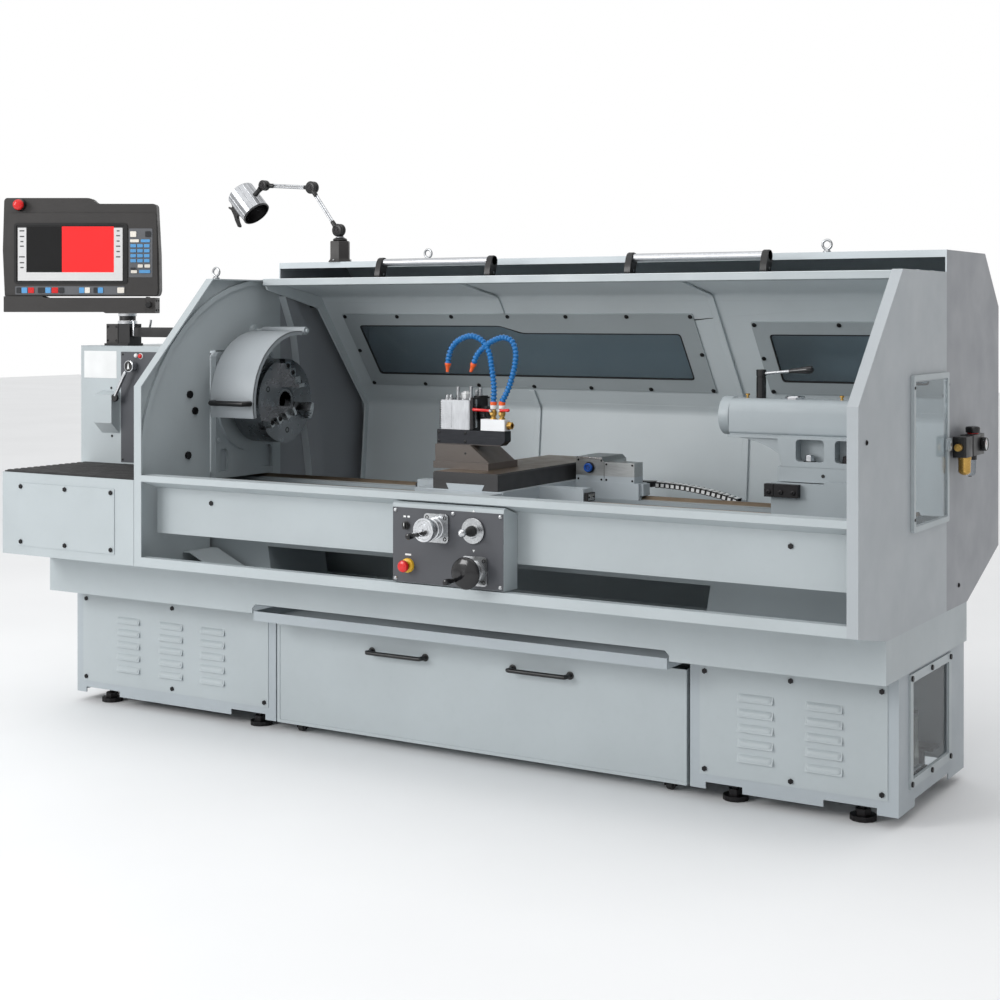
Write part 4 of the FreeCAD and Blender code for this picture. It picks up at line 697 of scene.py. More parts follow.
chuck_rim = Piece("chuck_rim", "spindle", "chuck", TURNED, BLACK, STEEL)
chuck_rim.lathe("x", SPINDLE, [(214.9, 37), (215.6, 38), (215.6, 54), (214.9, 55)], 96)
for angle in (36, 156, 276):
    y, z = around(SPINDLE[1:], 118, angle)
    chuck_rim.lathe("x", (215, y, z), [(0, 12), (0.5, 11.5), (0.5, 7), (-0.2, 6.6), (-0.2, 0)], 24, 1)
for band in (
    [(95, 166), (95.6, 166.7), (104, 166.7), (104.6, 166)],
    [(186, 166), (186.5, 166.6), (189.5, 166.6), (190, 166)]
):
    chuck_rim.lathe("x", SPINDLE, band, 96)
chuck_rim.done()
for number, angle in enumerate((96, 216, 336), 1):
    out = Vector((0, math.cos(math.radians(angle)), math.sin(math.radians(angle))))
    side = Vector((0, -out.z, out.y))
    trim = Piece(f"jaw_screws_{number}", f"jaw_{number}", f"jaw_{number}", OXIDE, STEEL)
    trim.turn = Matrix(((1, 0, 0, 0), (0, side.y, out.y, 630), (0, side.z, out.z, 1213), (0, 0, 0, 1)))
    for radius, x in ((140, 241), (113, 263)):
        trim.lathe("x", (x, 0, radius), [
            (-0.1, 10), (0.6, 10), (0.6, 9), (3.2, 8.6), (4, 7.6), (4, 4.2), (1.5, 4), (1.5, 0)
        ], 20)
    for k in range(5):
        trim.box((291, 300), (-17.4, 17.4), (55.2 + 2.2 * k, 56.4 + 2.2 * k), 1)
    trim.done()

guard = Piece("guard_hood", "chuck_guard", "chuck_guard", GUARD, BLACK, STEEL)
hood_line = arc(SPINDLE[1:], 276, 192, 84, 48)
for depth, left, right in ((-3, 62, 278), (-16, 274, 278), (-16, 62, 66)):
    guard.prism("x", bent(hood_line, depth), left, right)
guard.lathe("x", (62, 684, 1490), [(0, 9), (0, 15), (2, 16), (214, 16), (216, 15), (216, 9)], 28)
grip = smooth_path([
    (90, 356, 1213), (90, 338, 1213), (97, 323, 1213), (112, 318, 1213), (240, 318, 1213), (256, 323, 1213),
    (263, 338, 1213), (263, 356, 1213)
], 4)
guard.tube(grip, 10.5, 16, 1)
for x in (90, 263):
    guard.lathe("y", (x, 354, 1213), [(0, 16), (3, 16), (5, 13)], 24, 1)
guard.done(1.0, replaces="chuck_guard")

# ---------------------------------------------------------------- hoses, valves and tool post

HOSES = (
    [
        (1356, 1244), (1358, 1300), (1349, 1368), (1338, 1422), (1310, 1462), (1264, 1479), (1214, 1464),
        (1183, 1436), (1170, 1401), (1167, 1381)
    ],
    [
        (1391, 1250), (1415, 1293), (1431, 1335), (1443, 1381), (1446, 1425), (1430, 1462), (1392, 1474),
        (1347, 1459), (1311, 1435), (1288, 1411), (1274, 1381)
    ],
)
BEAD = [7.4, 8.8, 10.2, 11.2, 11.3, 10.6, 9.0, 7.6]  # radii along one ball of the hose
hoses = Piece("ball_hoses", "cross_slide", "coolant_hoses", HOSE, ORANGE)
for route in HOSES:
    path = smooth_path([(x, 350, z) for x, z in route], 1.6)
    hoses.tube(path, [BEAD[i % len(BEAD)] for i in range(len(path))], 14)
    end, before = path[-1], path[-6]
    ahead = (end - before).normalized()
    nozzle = [end + ahead * k for k in (-1, 0, 3, 8, 10, 26, 32)]
    hoses.tube(nozzle, [9, 11, 11.4, 11, 8.6, 5.6, 5.2], 18, 1)
hoses.done(replaces="coolant_hoses", smooth=50)

valves = Piece("coolant_valves", "cross_slide", "valve_block", WHITE_METAL, BRASS, WHITE, ORANGE, BLACK)
valves.box((1315, 1412), (331, 370), (1149, 1189))
valves.lathe("x", (1412, 350, 1168), [
    (0, 8), (3, 8), (3, 12.5), (6, 14.2), (18, 14.2), (21, 12.5), (21, 9), (10, 8.5), (10, 0)
], 6, 1)
valves.lathe("x", (1416, 350, 1168), [(0, 13), (2, 14.6), (5, 13)], 28, 1)
for x in (1356, 1391):
    valves.lathe("z", (x, 350, 1189), [(0, 12), (5, 12), (5, 8)], 6, 1)
    valves.lathe("z", (x, 350, 1194), [
        (0, 8), (4, 8), (8, 11), (16, 12.5), (24, 11), (28, 8), (30, 8)
    ], 24, 1)
    valves.lathe("y", (x, 335, 1210), [(0, 0), (0, 7), (6, 7), (6, 0)], 6, 1)
    valves.lathe("z", (x, 350, 1224), [(0, 10), (1, 11), (13, 11.4), (14, 10)], 24, 2)
    valves.lathe("z", (x, 350, 1238), [(0, 10), (1, 11.6), (11, 12), (14, 9)], 24, 3)
valves.bolt((1373, 345, 1189), "z", 4, 2, 1, 4)
valves.done(0.8, replaces="valve_block")
for number, (x, z, out, reach) in enumerate(((1356, 1219, -1, 70), (1391, 1221, 1, 42)), 1):
    lever = Piece(f"tap_{number}", f"valve_lever_{number}", f"valve_lever_{number}", RED, STEEL)
    lever.tube(
        [(x + out * k, 332 - 0.1 * k, z + 0.04 * k) for k in (0, 6, 12, 16, reach - 4, reach)],
        [6, 6, 4, 4.6, 5.6, 4], 14
    )
    lever.lathe("y", (x, 325, z), [(0, 0), (0, 5), (2, 6), (11, 6), (11, 0)], 6, 1)
    lever.done(0.4, replaces=f"valve_lever_{number}")

post = Piece("tool_block", "cross_slide", "toolpost", BRIGHT, OXIDE, STEEL, BLACK, WHITE)
post.prism("z", rounded([(1147, 335), (1268, 335), (1268, 460), (1147, 460)], [2, 7, 7, 2]), 1149, 1253)
for k in range(15):
    post.box((1146.2, 1192), (333.9, 335.2), (1156 + 6.3 * k, 1159.2 + 6.3 * k))
for k in range(8):
    y = 338 + 15 * k
    post.prism("z", [(1147, y), (1135, y + 7.5), (1147, y + 15)], 1152, 1248, 2)
post.box((1268, 1277), (340, 455), (1150, 1262), 1)
for y in (358, 442):
    post.box((1277, 1281), (y - 5, y + 5), (1156, 1256), 2)
knurl = [around((398, 1205), 27 if k % 2 else 25.4, 7.5 * k) for k in range(48)]
post.prism("x", knurl, 1284, 1304, 3)
post.lathe("x", (1277, 398, 1205), [
    (0, 14), (7, 14), (7, 20), (28, 20), (30, 18), (30, 9), (26, 8), (26, 0)
], 32, 3)
post.lathe("z", (1212, 398, 1253), [(0, 24), (3, 24), (3, 19)], 32, 2)
post.lathe("z", (1212, 398, 1256), [(0, 21), (18, 21), (21, 18), (21, 12), (26, 11), (26, 0)], 6, 4)
for x, y, height in (
    (1165, 352, 16), (1180, 352, 16), (1196, 372, 44), (1244, 382, 46), (1256, 425, 40), (1165, 446, 16),
    (1228, 446, 30)
):
    post.lathe("z", (x, y, 1253), [
        (0, 10), (7, 10), (8, 7), (height, 6.4), (height + 1.5, 5), (height + 1.5, 0)
    ], 18, 2)
post.prism("z", cell(1246, 1276, 392, 448, 6, 4), 1253, 1266, 1)
post.done(0.8, replaces="toolpost")

riser = Piece("riser_trim", "cross_slide", "tool_riser", BLACK, OXIDE)
for x in (1142, 1252):
    for z in (1108, 1138):
        riser.bolt((x, 330, z), "y", 5.5, 2.5, -1)
for y in (352, 452):
    for z in (1108, 1138):
        riser.bolt((1134, y, z), "x", 5.5, 2.5, -1)
riser.bolt((1262, 315, 1068), "y", 4, 1.5, -1)
riser.done()

# ---------------------------------------------------------------- apron and its controls

FACE = -1.6  # front of the control plate on the apron
DIAL, STOP = (1495, 846), (1236, 714)

apron = Piece("apron_case", "carriage", "apron", FRONT, PLATE, STEEL, BLACK, YELLOW, WHITE)
apron.prism("x", [(4, 655), (0, 659), (0, 920), (10, 926), (86, 900), (86, 655)], 1173, 1609)
apron.prism("x", [(86, 660), (128, 660), (128, 905), (100, 905), (100, 725), (86, 725)], 1200, 1460)
apron.box((1174, 1608), (FACE, 0.5), (657, 907), 1)
for x, z in ((1185, 897), (1415, 897), (1597, 897), (1185, 668), (1597, 668)):
    apron.lathe("y", (x, FACE, z), [(0, 8), (-1.5, 7.6), (-4.5, 5), (-5.2, 2.5), (-5.2, 0)], 24, 2)
for x, z in ((1351, 846), (1502, 715)):
    apron.prism("y", cell(x - 48, x + 48, z - 48, z + 48, 15, 6), -8, FACE, 2)
    for dx in (-35, 35):
        for dz in (-35, 35):
            apron.lathe("y", (x + dx, -8, z + dz), [(0, 7), (-1, 6.6), (-1, 4), (0.2, 3.6), (0.2, 0)], 20, 3)
apron.lathe("y", (DIAL[0], FACE, DIAL[1]), [
    (0, 43), (-7.5, 43), (-9.5, 41.5), (-9.5, 24), (-12, 22), (-12, 0)
], 56, 2)
for angle in (20, 110, 200, 290):
    x, z = around(DIAL, 34, angle)
    apron.lathe("y", (x, -9.5, z), [(0, 4.5), (-0.8, 4), (-0.8, 0)], 14, 3)
apron.lathe("y", (STOP[0], FACE, STOP[1]), [
    (0, 24), (-9, 23.4), (-11.5, 20), (-12.4, 14), (-4, 13), (-4, 0)
], 40, 4)
for z, turn in ((910, 0), (781, 180)):
    corners = [around((z, DIAL[0]), 5.5, turn + a)[::-1] for a in (0, 120, 240)]
    apron.prism("y", corners, -2.1, -1.5, 5)
for x, z, width in ((1222, 877, 5), (1238, 877, 5), (1236, 750, 12)):
    apron.prism("y", cell(x - width, x + width, z - 3, z + 3, 1.5, 4), -2.1, -1.5, 5)
apron.done(0.9, replaces="apron")

wheel = Piece("z_wheel", "z_handwheel", "z_handwheel", CHROME, BLACK, GLOSS_BLACK)
wheel.lathe("y", (1346, 0, 846), [
    (-8.4, 0), (-8.4, 37), (-13, 37), (-15, 34), (-22, 34), (-23, 36), (-36, 36), (-38, 33), (-46, 33),
    (-47, 35), (-58, 35), (-60, 31), (-61, 31)
], 64)
wheel.lathe("y", (1346, 0, 846), [
    (-61, 31), (-61, 38.5), (-63, 40), (-76, 40), (-78, 38.5), (-78, 33), (-77, 32), (-77, 30), (-77.8, 29),
    (-77.8, 20), (-77.2, 19.4), (-77.8, 18.8), (-77.8, 4.5), (-72, 4), (-72, 0)
], 64)
wheel.lathe("y", (1323, 0, 830), [
    (-77.5, 0), (-77.5, 8), (-82, 8), (-84, 6.5), (-88, 7), (-104, 9.5), (-128, 11), (-134, 9), (-136, 5),
    (-136, 0)
], 32, 2)
wheel.done(replaces="z_handwheel")

wheel = Piece("x_wheel", "x_handwheel", "x_handwheel", GLOSS_BLACK, STEEL)
wheel.lathe("y", (1502, 0, 715), [
    (-8.4, 0), (-8.4, 34), (-14, 34), (-16, 30), (-30, 30), (-32, 33), (-42, 33), (-44, 30), (-58, 30)
], 56, 1)
wheel.lathe("y", (1502, 0, 715), [
    (-58, 28), (-58, 50), (-60, 52.6), (-64, 53), (-67, 52), (-71, 46), (-75, 30), (-77, 14), (-78, 9),
    (-76, 8), (-76, 0)
], 72)
wheel.lathe("y", (1468.4, 0, 691.5), [
    (-70, 0), (-70, 7), (-84, 7), (-86, 6), (-92, 8), (-110, 10.6), (-128, 11), (-134, 9), (-136, 5),
    (-136, 0)
], 32)
wheel.done(replaces="x_handwheel")

stick = Piece("jog_stick", "joystick", "joystick", CHROME, RUBBER)
stick.lathe("y", (DIAL[0], 0, DIAL[1]), [
    (-12.2, 0), (-12.2, 17), (-15, 18), (-20, 16.5), (-23, 17.2), (-28, 14), (-31, 14.6), (-38, 11),
    (-41, 11.4), (-48, 8.5), (-52, 7), (-52, 0)
], 36, 1)
stick.lathe("y", (DIAL[0], 0, DIAL[1]), [(-50, 5), (-60, 5)], 24)
stick.lathe("y", (DIAL[0], -72, DIAL[1]), arc((0, 0), 14, 0, 168, 14) + [(-14, 0)], 32)
stick.done(replaces="joystick")

stop = Piece("stop_mushroom", "stop_button", "stop_button", RED, BLACK)
stop.lathe("y", (STOP[0], 0, STOP[1]), [(-14.2, 0), (-14.2, 11), (-24, 11)], 28, 1)
stop.lathe("y", (STOP[0], 0, STOP[1]), [
    (-24, 10), (-24, 17), (-28, 19.8), (-34, 20), (-39, 17.6), (-41.3, 12), (-42, 6), (-42, 0)
])
stop.done(replaces="stop_button")

knob = Piece("cycle_switch", "cycle_knob", "cycle_knob", BLACK, WHITE)
knob.lathe("y", (1229, 0, 847), [
    (-0.4, 0), (-2, 14), (-5, 14), (-6, 12), (-13, 11.4), (-14, 10), (-14, 0)
], 32)
knob.prism("y", cell(1224, 1234, 835, 859, 4, 4), -18, -5)
knob.prism("y", square((1228, 1230), (846, 857)), -18.2, -17.9, 1)
knob.done(0.5, replaces="cycle_knob")

# ---------------------------------------------------------------- operator's pendant

# The pendant faces the operator, 31.2 degrees round its post.
COS, SIN = math.cos(math.radians(31.2)), math.sin(math.radians(31.2))
TURNED_OUT = Matrix(((COS, -SIN, 0, -517), (SIN, COS, 0, 512), (0, 0, 1, 0), (0, 0, 0, 1)))
HOUSING = [
    (-500, 1630), (132, 1630), (138, 1652), (136, 1800), (125, 2011), (-108, 2011), (-122, 2014),
    (-142, 2032), (-156, 2035), (-494, 2035), (-502, 2026), (-508, 1820)
]


panel = Piece(
    "pendant_case", "pendant", "pendant", CASE, BLACK, KEYS, GREY_GLASS, SCREEN_BLACK, SCREEN_RED,
    SCREEN_MARK, KEY_BLUE, KEY_WHITE, RED, KEY_DARK, STEEL
)
panel.turn = TURNED_OUT
panel.prism("y", rounded(HOUSING, [6, 12, 8, 0, 16, 10, 14, 10, 14, 14, 8, 0], 5), -29, 28)
panel.prism("y", rounded([
    (-496, 1640), (122, 1640), (128, 1655), (116, 2000), (-115, 2000), (-148, 2024), (-486, 2024),
    (-498, 1820)
], 12, 4), 28, 35)
panel.prism("y", rounded([
    (-490, 1633), (129, 1633), (132, 1655), (126, 1972), (-486, 1972), (-492, 1820)
], [18, 22, 8, 14, 22, 0], 5), -35, -28)
panel.prism("y", [cell(-459, 7, 1681, 1931, 14), cell(-450, -4, 1688, 1922, 6)], -39, -34, 1)
for outline, front, back, m in (
    ((-450, -4, 1688, 1922, 2), -35.6, -35, 1), ((-444, -13, 1694, 1912, 0.5), -36, -35.6, 3),
    ((-409, -262.2, 1728.5, 1917, 0.5), -36.2, -35.9, 4),
    ((-262.2, -48.5, 1728.5, 1917, 0.5), -36.2, -35.9, 5)
):
    panel.prism("y", cell(*outline), front, back, m)
LEFT_MARKS = ((1899, 10), (1876, 9), (1855, 6), (1836, 8), (1792, 12), (1768, 9), (1748, 7))
RIGHT_MARKS = ((1899, 6), (1879, 8), (1857, 6), (1836, 9), (1814, 7), (1792, 9))
for x, marks in ((-427, LEFT_MARKS), (-31, RIGHT_MARKS)):
    for z, width in marks:
        panel.prism("y", cell(x - width, x + width, z - 2.5, z + 2.5, 0.5), -36.2, -35.9, 6)
panel.prism("y", cell(13, 110, 1708, 1909, 5), -36, -34.6, 2)
KEYPAD = [
    (19, 44, 1874, 1897, 8), (81, 104, 1874, 1897, 10), (19, 55, 1852, 1864, 8), (63, 100, 1852, 1864, 7),
    (50, 71, 1748, 1761, 8), (78, 101, 1748, 1761, 8), (20, 42, 1740, 1748, 10), (22, 47, 1725, 1737, 8),
    (56, 101, 1725, 1738, 7)
]
KEYPAD += [(
    20 + 27.8 * column, 43 + 27.8 * column, 1831 - 20.5 * row, 1844.5 - 20.5 * row, 7
) for row in range(4) for column in range(3)]
STRIP = [
    (-449, -431, 10), (-428, -405, 7), (-401, -377, 9), (-361, -333, 10), (-330, -308, 7), (-304, -278, 9),
    (-274, -254, 10), (-191, -170, 7), (-168, -147, 8), (-132, -116, 10), (-114, -93, 7), (-34, -6, 8)
]
for left, right, low, high, m in KEYPAD:
    panel.prism("y", cell(left, right, low, high), -39.4, -35, m)
panel.prism("y", cell(-455, -4, 1637, 1671, 5), -36, -34.6, 2)
for left, right, m in STRIP:
    panel.prism("y", cell(left, right, 1643, 1666), -39, -35, m)
panel.lathe("y", (-436, -35, 2005.5), [(0, 26), (-3, 25.5), (-8, 24), (-12, 22), (-12, 12)], 40, 1)
panel.lathe("y", (97, -45, 1595), [(0, 10), (-4, 10), (-5, 13), (-15, 12.4), (-17, 10), (-17, 0)], 28, 1)
for u in (-470, 100):
    for z in (1660, 1950):
        panel.lathe("y", (u, 35, z), [(0, 7), (1.5, 6.5), (2.5, 3.5), (1, 3), (1, 0)], 18, 11)
for k in range(9):
    panel.prism("y", cell(-330, -130, 1760 + 14 * k, 1765 + 14 * k, 2), 34.8, 36.2, 1)
panel.done(1.1, 3, replaces="pendant")

PENDANT_STOP = (-436, 0, 2005.5)
stop = Piece("pendant_mushroom", "pendant_stop", "pendant_stop", RED, BLACK)
stop.turn = TURNED_OUT
stop.lathe("y", PENDANT_STOP, [(-47.3, 0), (-47.3, 11), (-52, 11)], 28, 1)
stop.lathe("y", PENDANT_STOP, [
    (-52, 10), (-52, 19), (-56, 22), (-61, 21.6), (-65, 18), (-67.6, 11), (-68, 5), (-68, 0)
])
stop.done(replaces="pendant_stop")

arm = Piece("pendant_beam", "pendant", "pendant_arm", CASE, BLACK)
arm.turn = TURNED_OUT
arm.prism("y", rounded([
    (-500, 1565), (-90, 1565), (-82, 1560), (124, 1560), (124, 1624), (-330, 1624), (-345, 1630), (-500, 1630)
], 2.5, 3), -45, 45)
arm.prism("x", [(-45, 1563), (-45, 1622), (-36, 1628), (36, 1628), (45, 1622), (45, 1563)], 84, 86)
for z in (1573, 1612):
    for y in (-25, 25):
        arm.bolt((124, y, z), "x", 5, 3, 1, 1)
arm.done(1.5, 3, replaces="pendant_arm")

post = Piece("pendant_pillar", "machine", "pendant_post", CASE, BLACK, CHROME, STEEL)
post.box((-605, -542), (480, 552), (1426, 1516))
post.box((-540, -478), (482, 552), (1430, 1516), 1)
post.box((-607, -476), (470, 560), (1426, 1436), 1)
for z, radius, height, m in ((1516, 40, 13, 2), (1530, 33.5, 18, 1), (1548, 38, 11.6, 2)):
    post.lathe("z", (-517, 512, z), [
        (0, 0), (0, radius - 1), (1, radius), (height - 1, radius), (height, radius - 1), (height, 0)
    ], 48, m)
post.prism("x", cell(492, 532, 1462, 1502, 3, 4), -478, 0, 1)
for x, y in ((-597, 480), (-550, 480), (-597, 480)):
    for z in (1448, 1504):
        post.bolt((x, y, z), "y", 5, 2.5, -1, 1)
post.lathe("y", (-455, 532, 1482), [(0, 0), (0, 9), (8, 9), (8, 7), (34, 7), (34, 0)], 20, 3)
post.tube(
    smooth_path([(-455, 566, 1488), (-450, 571, 1500), (-444, 571, 1520), (-442, 571, 1534)], 3), 4.5, 12, 3
)
post.tube([(-470, 478, 1527), (-452, 474, 1530), (-446, 472, 1522), (-444, 470, 1468)], 3.2, 10, 2)
post.done(1.2, replaces="pendant_post")

# ---------------------------------------------------------------- headstock cover

trim = Piece("head_trim", "machine", "headstock_panel", PLATE, BLACK, CHROME, RED, WHITE)
trim.box((-504, -12), (459, 462), (949, 1402))
for x in (-494, -260, -24):
    for z in (960, 1391):
        trim.bolt((x, 459, z), "y", 5, 2.5, -1, 1)
trim.lathe("y", (-394, 459, 1385), [(0, 12), (-3, 12), (-4, 10)], 28, 4)
trim.lathe("y", (-394, 459, 1385), [(-3, 9.5), (-8, 9), (-11, 6), (-12, 0)], 28, 3)
trim.lathe("y", (-420, 459, 1387), [(0, 9), (-5, 8), (-8, 5), (-9, 0)], 24, 4)
trim.done(0.6, replaces="headstock_panel")

SELECTOR = (-433, 0, 1344)
gear = Piece("gear_lever", "gear_selector", "gear_selector", BLACK, CHROME, WHITE)
gear.lathe("y", SELECTOR, [(428.6, 0), (428.6, 24), (430, 24)])
gear.lathe("y", SELECTOR, [(458.6, 0), (458.6, 22), (430, 24), (428, 24), (427, 22), (427, 20)], 40, 1)
gear.lathe("y", SELECTOR, [(427, 20.5), (426.6, 20), (426.6, 0)])
gear.prism("y", [(-433, 1360), (-426, 1330), (-433, 1335), (-440, 1330)], 425.9, 426.7, 2)
gear.tube([(-444, 424, 1322), (-456, 421, 1298), (-500, 421, 1222)], [7, 9, 6.5], 18, 1)
gear.lathe("y", (-502, 0, 1214), [(429, 0), (429, 14), (427, 16), (419, 16), (417, 14), (417, 0)], 28)
gear.done(0.4, replaces="gear_selector")

cover = Piece("head_cover_trim", "machine", "headstock_cover", FRONT, SHADED_SIDE, BLACK, WHITE)
for x, z in ((-560, 1252), (-556, 1054)):
    cover.bolt((x, 462, z), "y", 5.5, 3, -1, 2)
cover.box((-713, -530), (461, 462.2), (1292, 1404), 3)
cover.box((-731, -500), (460.8, 462), (1424, 1426), 1)
cover.done(0.4, 1)

# ---------------------------------------------------------------- coolant tank, drawer and louvres

tank = Piece("tank_shell", "coolant_tank", "coolant_tank", FRONT, BLACK, RUBBER, OXIDE)
outer = square((359, 2073), (400, 1070))
inner = square((363, 2069), (404, 1066))
tank.prism("z", [outer, inner], 4, 382)
tank.prism("z", outer, 0, 4)
tank.prism("y", [cell(359, 2073, 0, 382, 4), cell(372, 2060, 12, 370, 3)], 398, 400)
for left, right in ((802, 1037), (1405, 1634)):
    path = smooth_path([
        (left, 399, 315), (left, 380, 315), (left + 5, 368, 315), (left + 18, 362, 315),
        (right - 18, 362, 315), (right - 5, 368, 315), (right, 380, 315), (right, 399, 315)
    ], 4)
    tank.tube(path, 8, 18, 1)
    for x in (left, right):
        tank.lathe("y", (x, 400, 315), [(0, 0), (0, 14), (-3, 14), (-4, 12), (-4, 8)], 28, 1)
for x in (430, 1980):
    for y in (450, 1020):
        tank.lathe("x", (x, y, -17.5), [(0, 0), (0, 15), (2, 17.4), (22, 17.4), (24, 15), (24, 0)], 36, 2)
        for fork in (x - 8, x + 27):
            tank.box((fork, fork + 5), (y - 12, y + 12), (-22, 0), 3)
tank.done(1.2, replaces="coolant_tank")

louvres = Piece("louvre_hoods", "machine", "cover_panels", FRONT, LOUVRE)
SKIN = 397.5
for left in (-466, -239, -24, 2254, 2486):
    for row in range(5):
        top = 328 - 49 * row
        n, width = 24, 124
        rows = []
        for i in range(n + 1):
            x = left + width * i / n
            edge = min(i, n - i) * width / n
            bulge = min(1, edge / 11) ** 0.5 if edge < 11 else 1
            rows.append([
                (x, SKIN + 0.4, top), (x, SKIN - 4.5 * bulge, top - 5), (x, SKIN - 8.5 * bulge, top - 12),
                (x, SKIN - 9.5 * bulge, top - 18), (x, SKIN - 9.5 * bulge, top - 22),
                (x, SKIN - 7.8 * bulge, top - 22), (x, SKIN - 7.0 * bulge, top - 12), (x, SKIN + 0.4, top - 6)
            ])
        verts = [p for line in rows for p in line]
        faces = [[
            8 * i + j, 8 * i + (j + 1) % 8, 8 * i + 8 + (j + 1) % 8, 8 * i + 8 + j
        ] for i in range(n) for j in range(8)]
        louvres.add(verts, faces, 0)
        # A dark strip inside each hood: painted shadow in the louvre's opening.
        louvres.box((left + 6, left + width - 6), (SKIN - 0.5, SKIN + 0.2), (top - 24, top - 8), 1)
louvres.done(smooth=50)

# ---------------------------------------------------------------- tailstock

tail = Piece("tailstock_casting", "tailstock", "tailstock", CAST, BLACK, BRASS, CHROME, OXIDE)
tail.prism(
    "x", rounded([(566, 1156), (694, 1156), (694, 1273), (566, 1273)], [10, 10, 46, 46], 8), 2150, 2660
)
tail.lathe("x", SPINDLE, [
    (2107.5, 0), (2107.5, 58), (2110, 63.5), (2114, 65), (2146, 65), (2149, 62), (2149, 0)
], 56)
WEB = [
    (2150, 1160), (2150, 1148), (2205, 1140), (2250, 1130), (2290, 1115), (2322, 1096), (2346, 1072),
    (2354, 1060), (2392, 1060), (2392, 1160)
]
tail.prism("y", WEB, 572, 688)
tail.prism("y", [(2146, 1152), (2146, 1144), (2356, 1144), (2356, 1152)], 564, 696)
POCKETS = cell(2419, 2515, 1078, 1150, 14, 5), cell(2551, 2620, 1078, 1150, 14, 5)
COLUMN = [(2368, 1060), (2652, 1060), (2646, 1157), (2356, 1157)]
for near, far in ((485, 531), (719, 765)):
    tail.prism("y", [COLUMN, *POCKETS], near, far)
tail.prism("y", [(2368, 1060), (2648, 1060), (2648, 1157), (2362, 1157)], 531, 719)
tail.prism("y", square((2358, 2652), (1012, 1061)), 485, 765)
tail.prism("y", [
    (2348, 893), (2660, 893), (2660, 1010), (2612, 1010), (2608, 1018), (2530, 1018), (2526, 1010),
    (2348, 1010)
], 450, 470)
tail.prism("y", square((2348, 2660), (910, 1009)), 470, 782)
for low, high in ((2334, 2365), (2367, 2449)):
    tail.prism("y", square((low, high), (966, 1008)), 425, 450, 4)
for x in (2350, 2392, 2434):
    tail.lathe("y", (x, 425, 982), [(0, 8), (-3, 7.4), (-4, 5), (-4, 3.6), (-1, 3.4), (-1, 0)], 20, 4)
tail.lathe("y", (2512, 485, 1035), [(0, 6), (-2, 5.6), (-2, 0)], 18, 1)
for x, m in ((2459, 3), (2584, 4)):
    tail.lathe("z", (x, 508, 1061), [(0, 21), (17, 21), (19, 19), (19, 0)], 32, 1)
    tail.lathe("z", (x, 508, 1080), [(0, 15), (17, 15), (20, 12), (20, 0)], 6, m)
for x in (2191, 2523):
    tail.lathe("z", (x, 630, 1272), [
        (0, 6), (4, 6), (4, 4), (10, 4), (10, 8), (15, 8), (16, 6), (16, 0)
    ], 20, 2)
tail.lathe("z", (2360, 630, 1272), [(0, 33), (8, 33), (11, 30), (11, 0)], 36, 3)
tail.done(2.2, replaces="tailstock")

quill = Piece("quill_bar", "quill", "quill", STEEL, OXIDE)
quill.lathe("x", SPINDLE, [
    (2180, 42), (2114, 42), (2111.5, 39.5), (2111.5, 22), (2114, 20), (2185, 13), (2185, 0)
], 56)
quill.lathe("x", SPINDLE, [(2549, 0), (2549, 41.8), (2180, 41.8)], 40, 1)
quill.done(replaces="quill")

wheel = Piece("quill_wheel", "quill_handwheel", "quill_handwheel", CHROME, OXIDE, GLOSS_BLACK)
wheel.lathe("x", SPINDLE, [
    (2660.4, 0), (2660.4, 38), (2672, 38), (2674, 34), (2692, 30), (2710, 28), (2712, 24), (2712, 8),
    (2706, 7), (2706, 0)
], 48, 1)
wheel.lathe("x", SPINDLE, arc((2703, 71), 8.5, 0, 360, 15), 64)
for angle in (30, 150, 270):
    wheel.tube([(2694, *around(SPINDLE[1:], r, angle)) for r in (26, 48, 70)], [9, 7, 6], 12)
wheel.lathe("x", (0, 570, 1213), [
    (2704, 0), (2704, 7), (2712, 7), (2714, 8.4), (2728, 9), (2744, 8), (2749, 5), (2750, 0)
], 24, 2)
wheel.done(replaces="quill_handwheel")

lever = Piece("quill_clamp", "tailstock_lever", "tailstock_lever", GLOSS_BLACK, STEEL)
lever.lathe("z", (2240, 630, 1273.6), [
    (0, 0), (0, 16.5), (70, 16.5), (71, 15), (73, 15), (74, 17), (94, 17), (96, 15), (96, 0)
], 36)
lever.tube([(2250, 630, 1356), (2300, 630, 1361), (2398, 630, 1370)], [6, 5.5, 5], 16, 1)
lever.tube([
    (2340, 630, 1364.7), (2350, 630, 1365.6), (2380, 630, 1368.4), (2402, 630, 1370.3), (2414, 630, 1371.3),
    (2421, 630, 1371.9), (2425, 630, 1372.2)
], [6.5, 8, 10.5, 13, 13.4, 11, 5], 24)
lever.done(replaces="tailstock_lever")

# ---------------------------------------------------------------- saddle and cable carrier

wings = Piece("saddle_trim", "carriage", "saddle", RUBBER, OXIDE, BLUE, BRASS, CAST, STEEL)
for x, inner, outer, head in ((960, -2, -2, -2), (1660, 12, 14, 2)):
    wings.box((x - 1, x + 13), (452, 508), (909, 938))
    wings.box((x + inner, x + inner + 2), (458, 502), (912, 934), 5)
    for y in (464, 496):
        wings.lathe("x", (x + outer, y, 923), [(0, 3.5), (head, 3), (head, 0)], 12, 1)
SOCKET = (1542, 1002)
wings.lathe("y", (SOCKET[0], 712.5, SOCKET[1]), [(0, 20), (-6, 20), (-8, 18), (-8, 0)], 36, 1)
wings.lathe("y", (SOCKET[0], 705, SOCKET[1]), [
    (0, 15.5), (-10, 15.5), (-12, 13), (-12, 11), (-6, 10), (-6, 0)
], 36, 2)
for angle in range(0, 360, 72):
    x, z = around(SOCKET, 6, angle)
    wings.lathe("y", (x, 700, z), [(0, 1.6), (-4, 1.4), (-4, 0)], 8, 3)
wings.box((1492, 1594), (708, 712.4), (1034, 1040), 5)
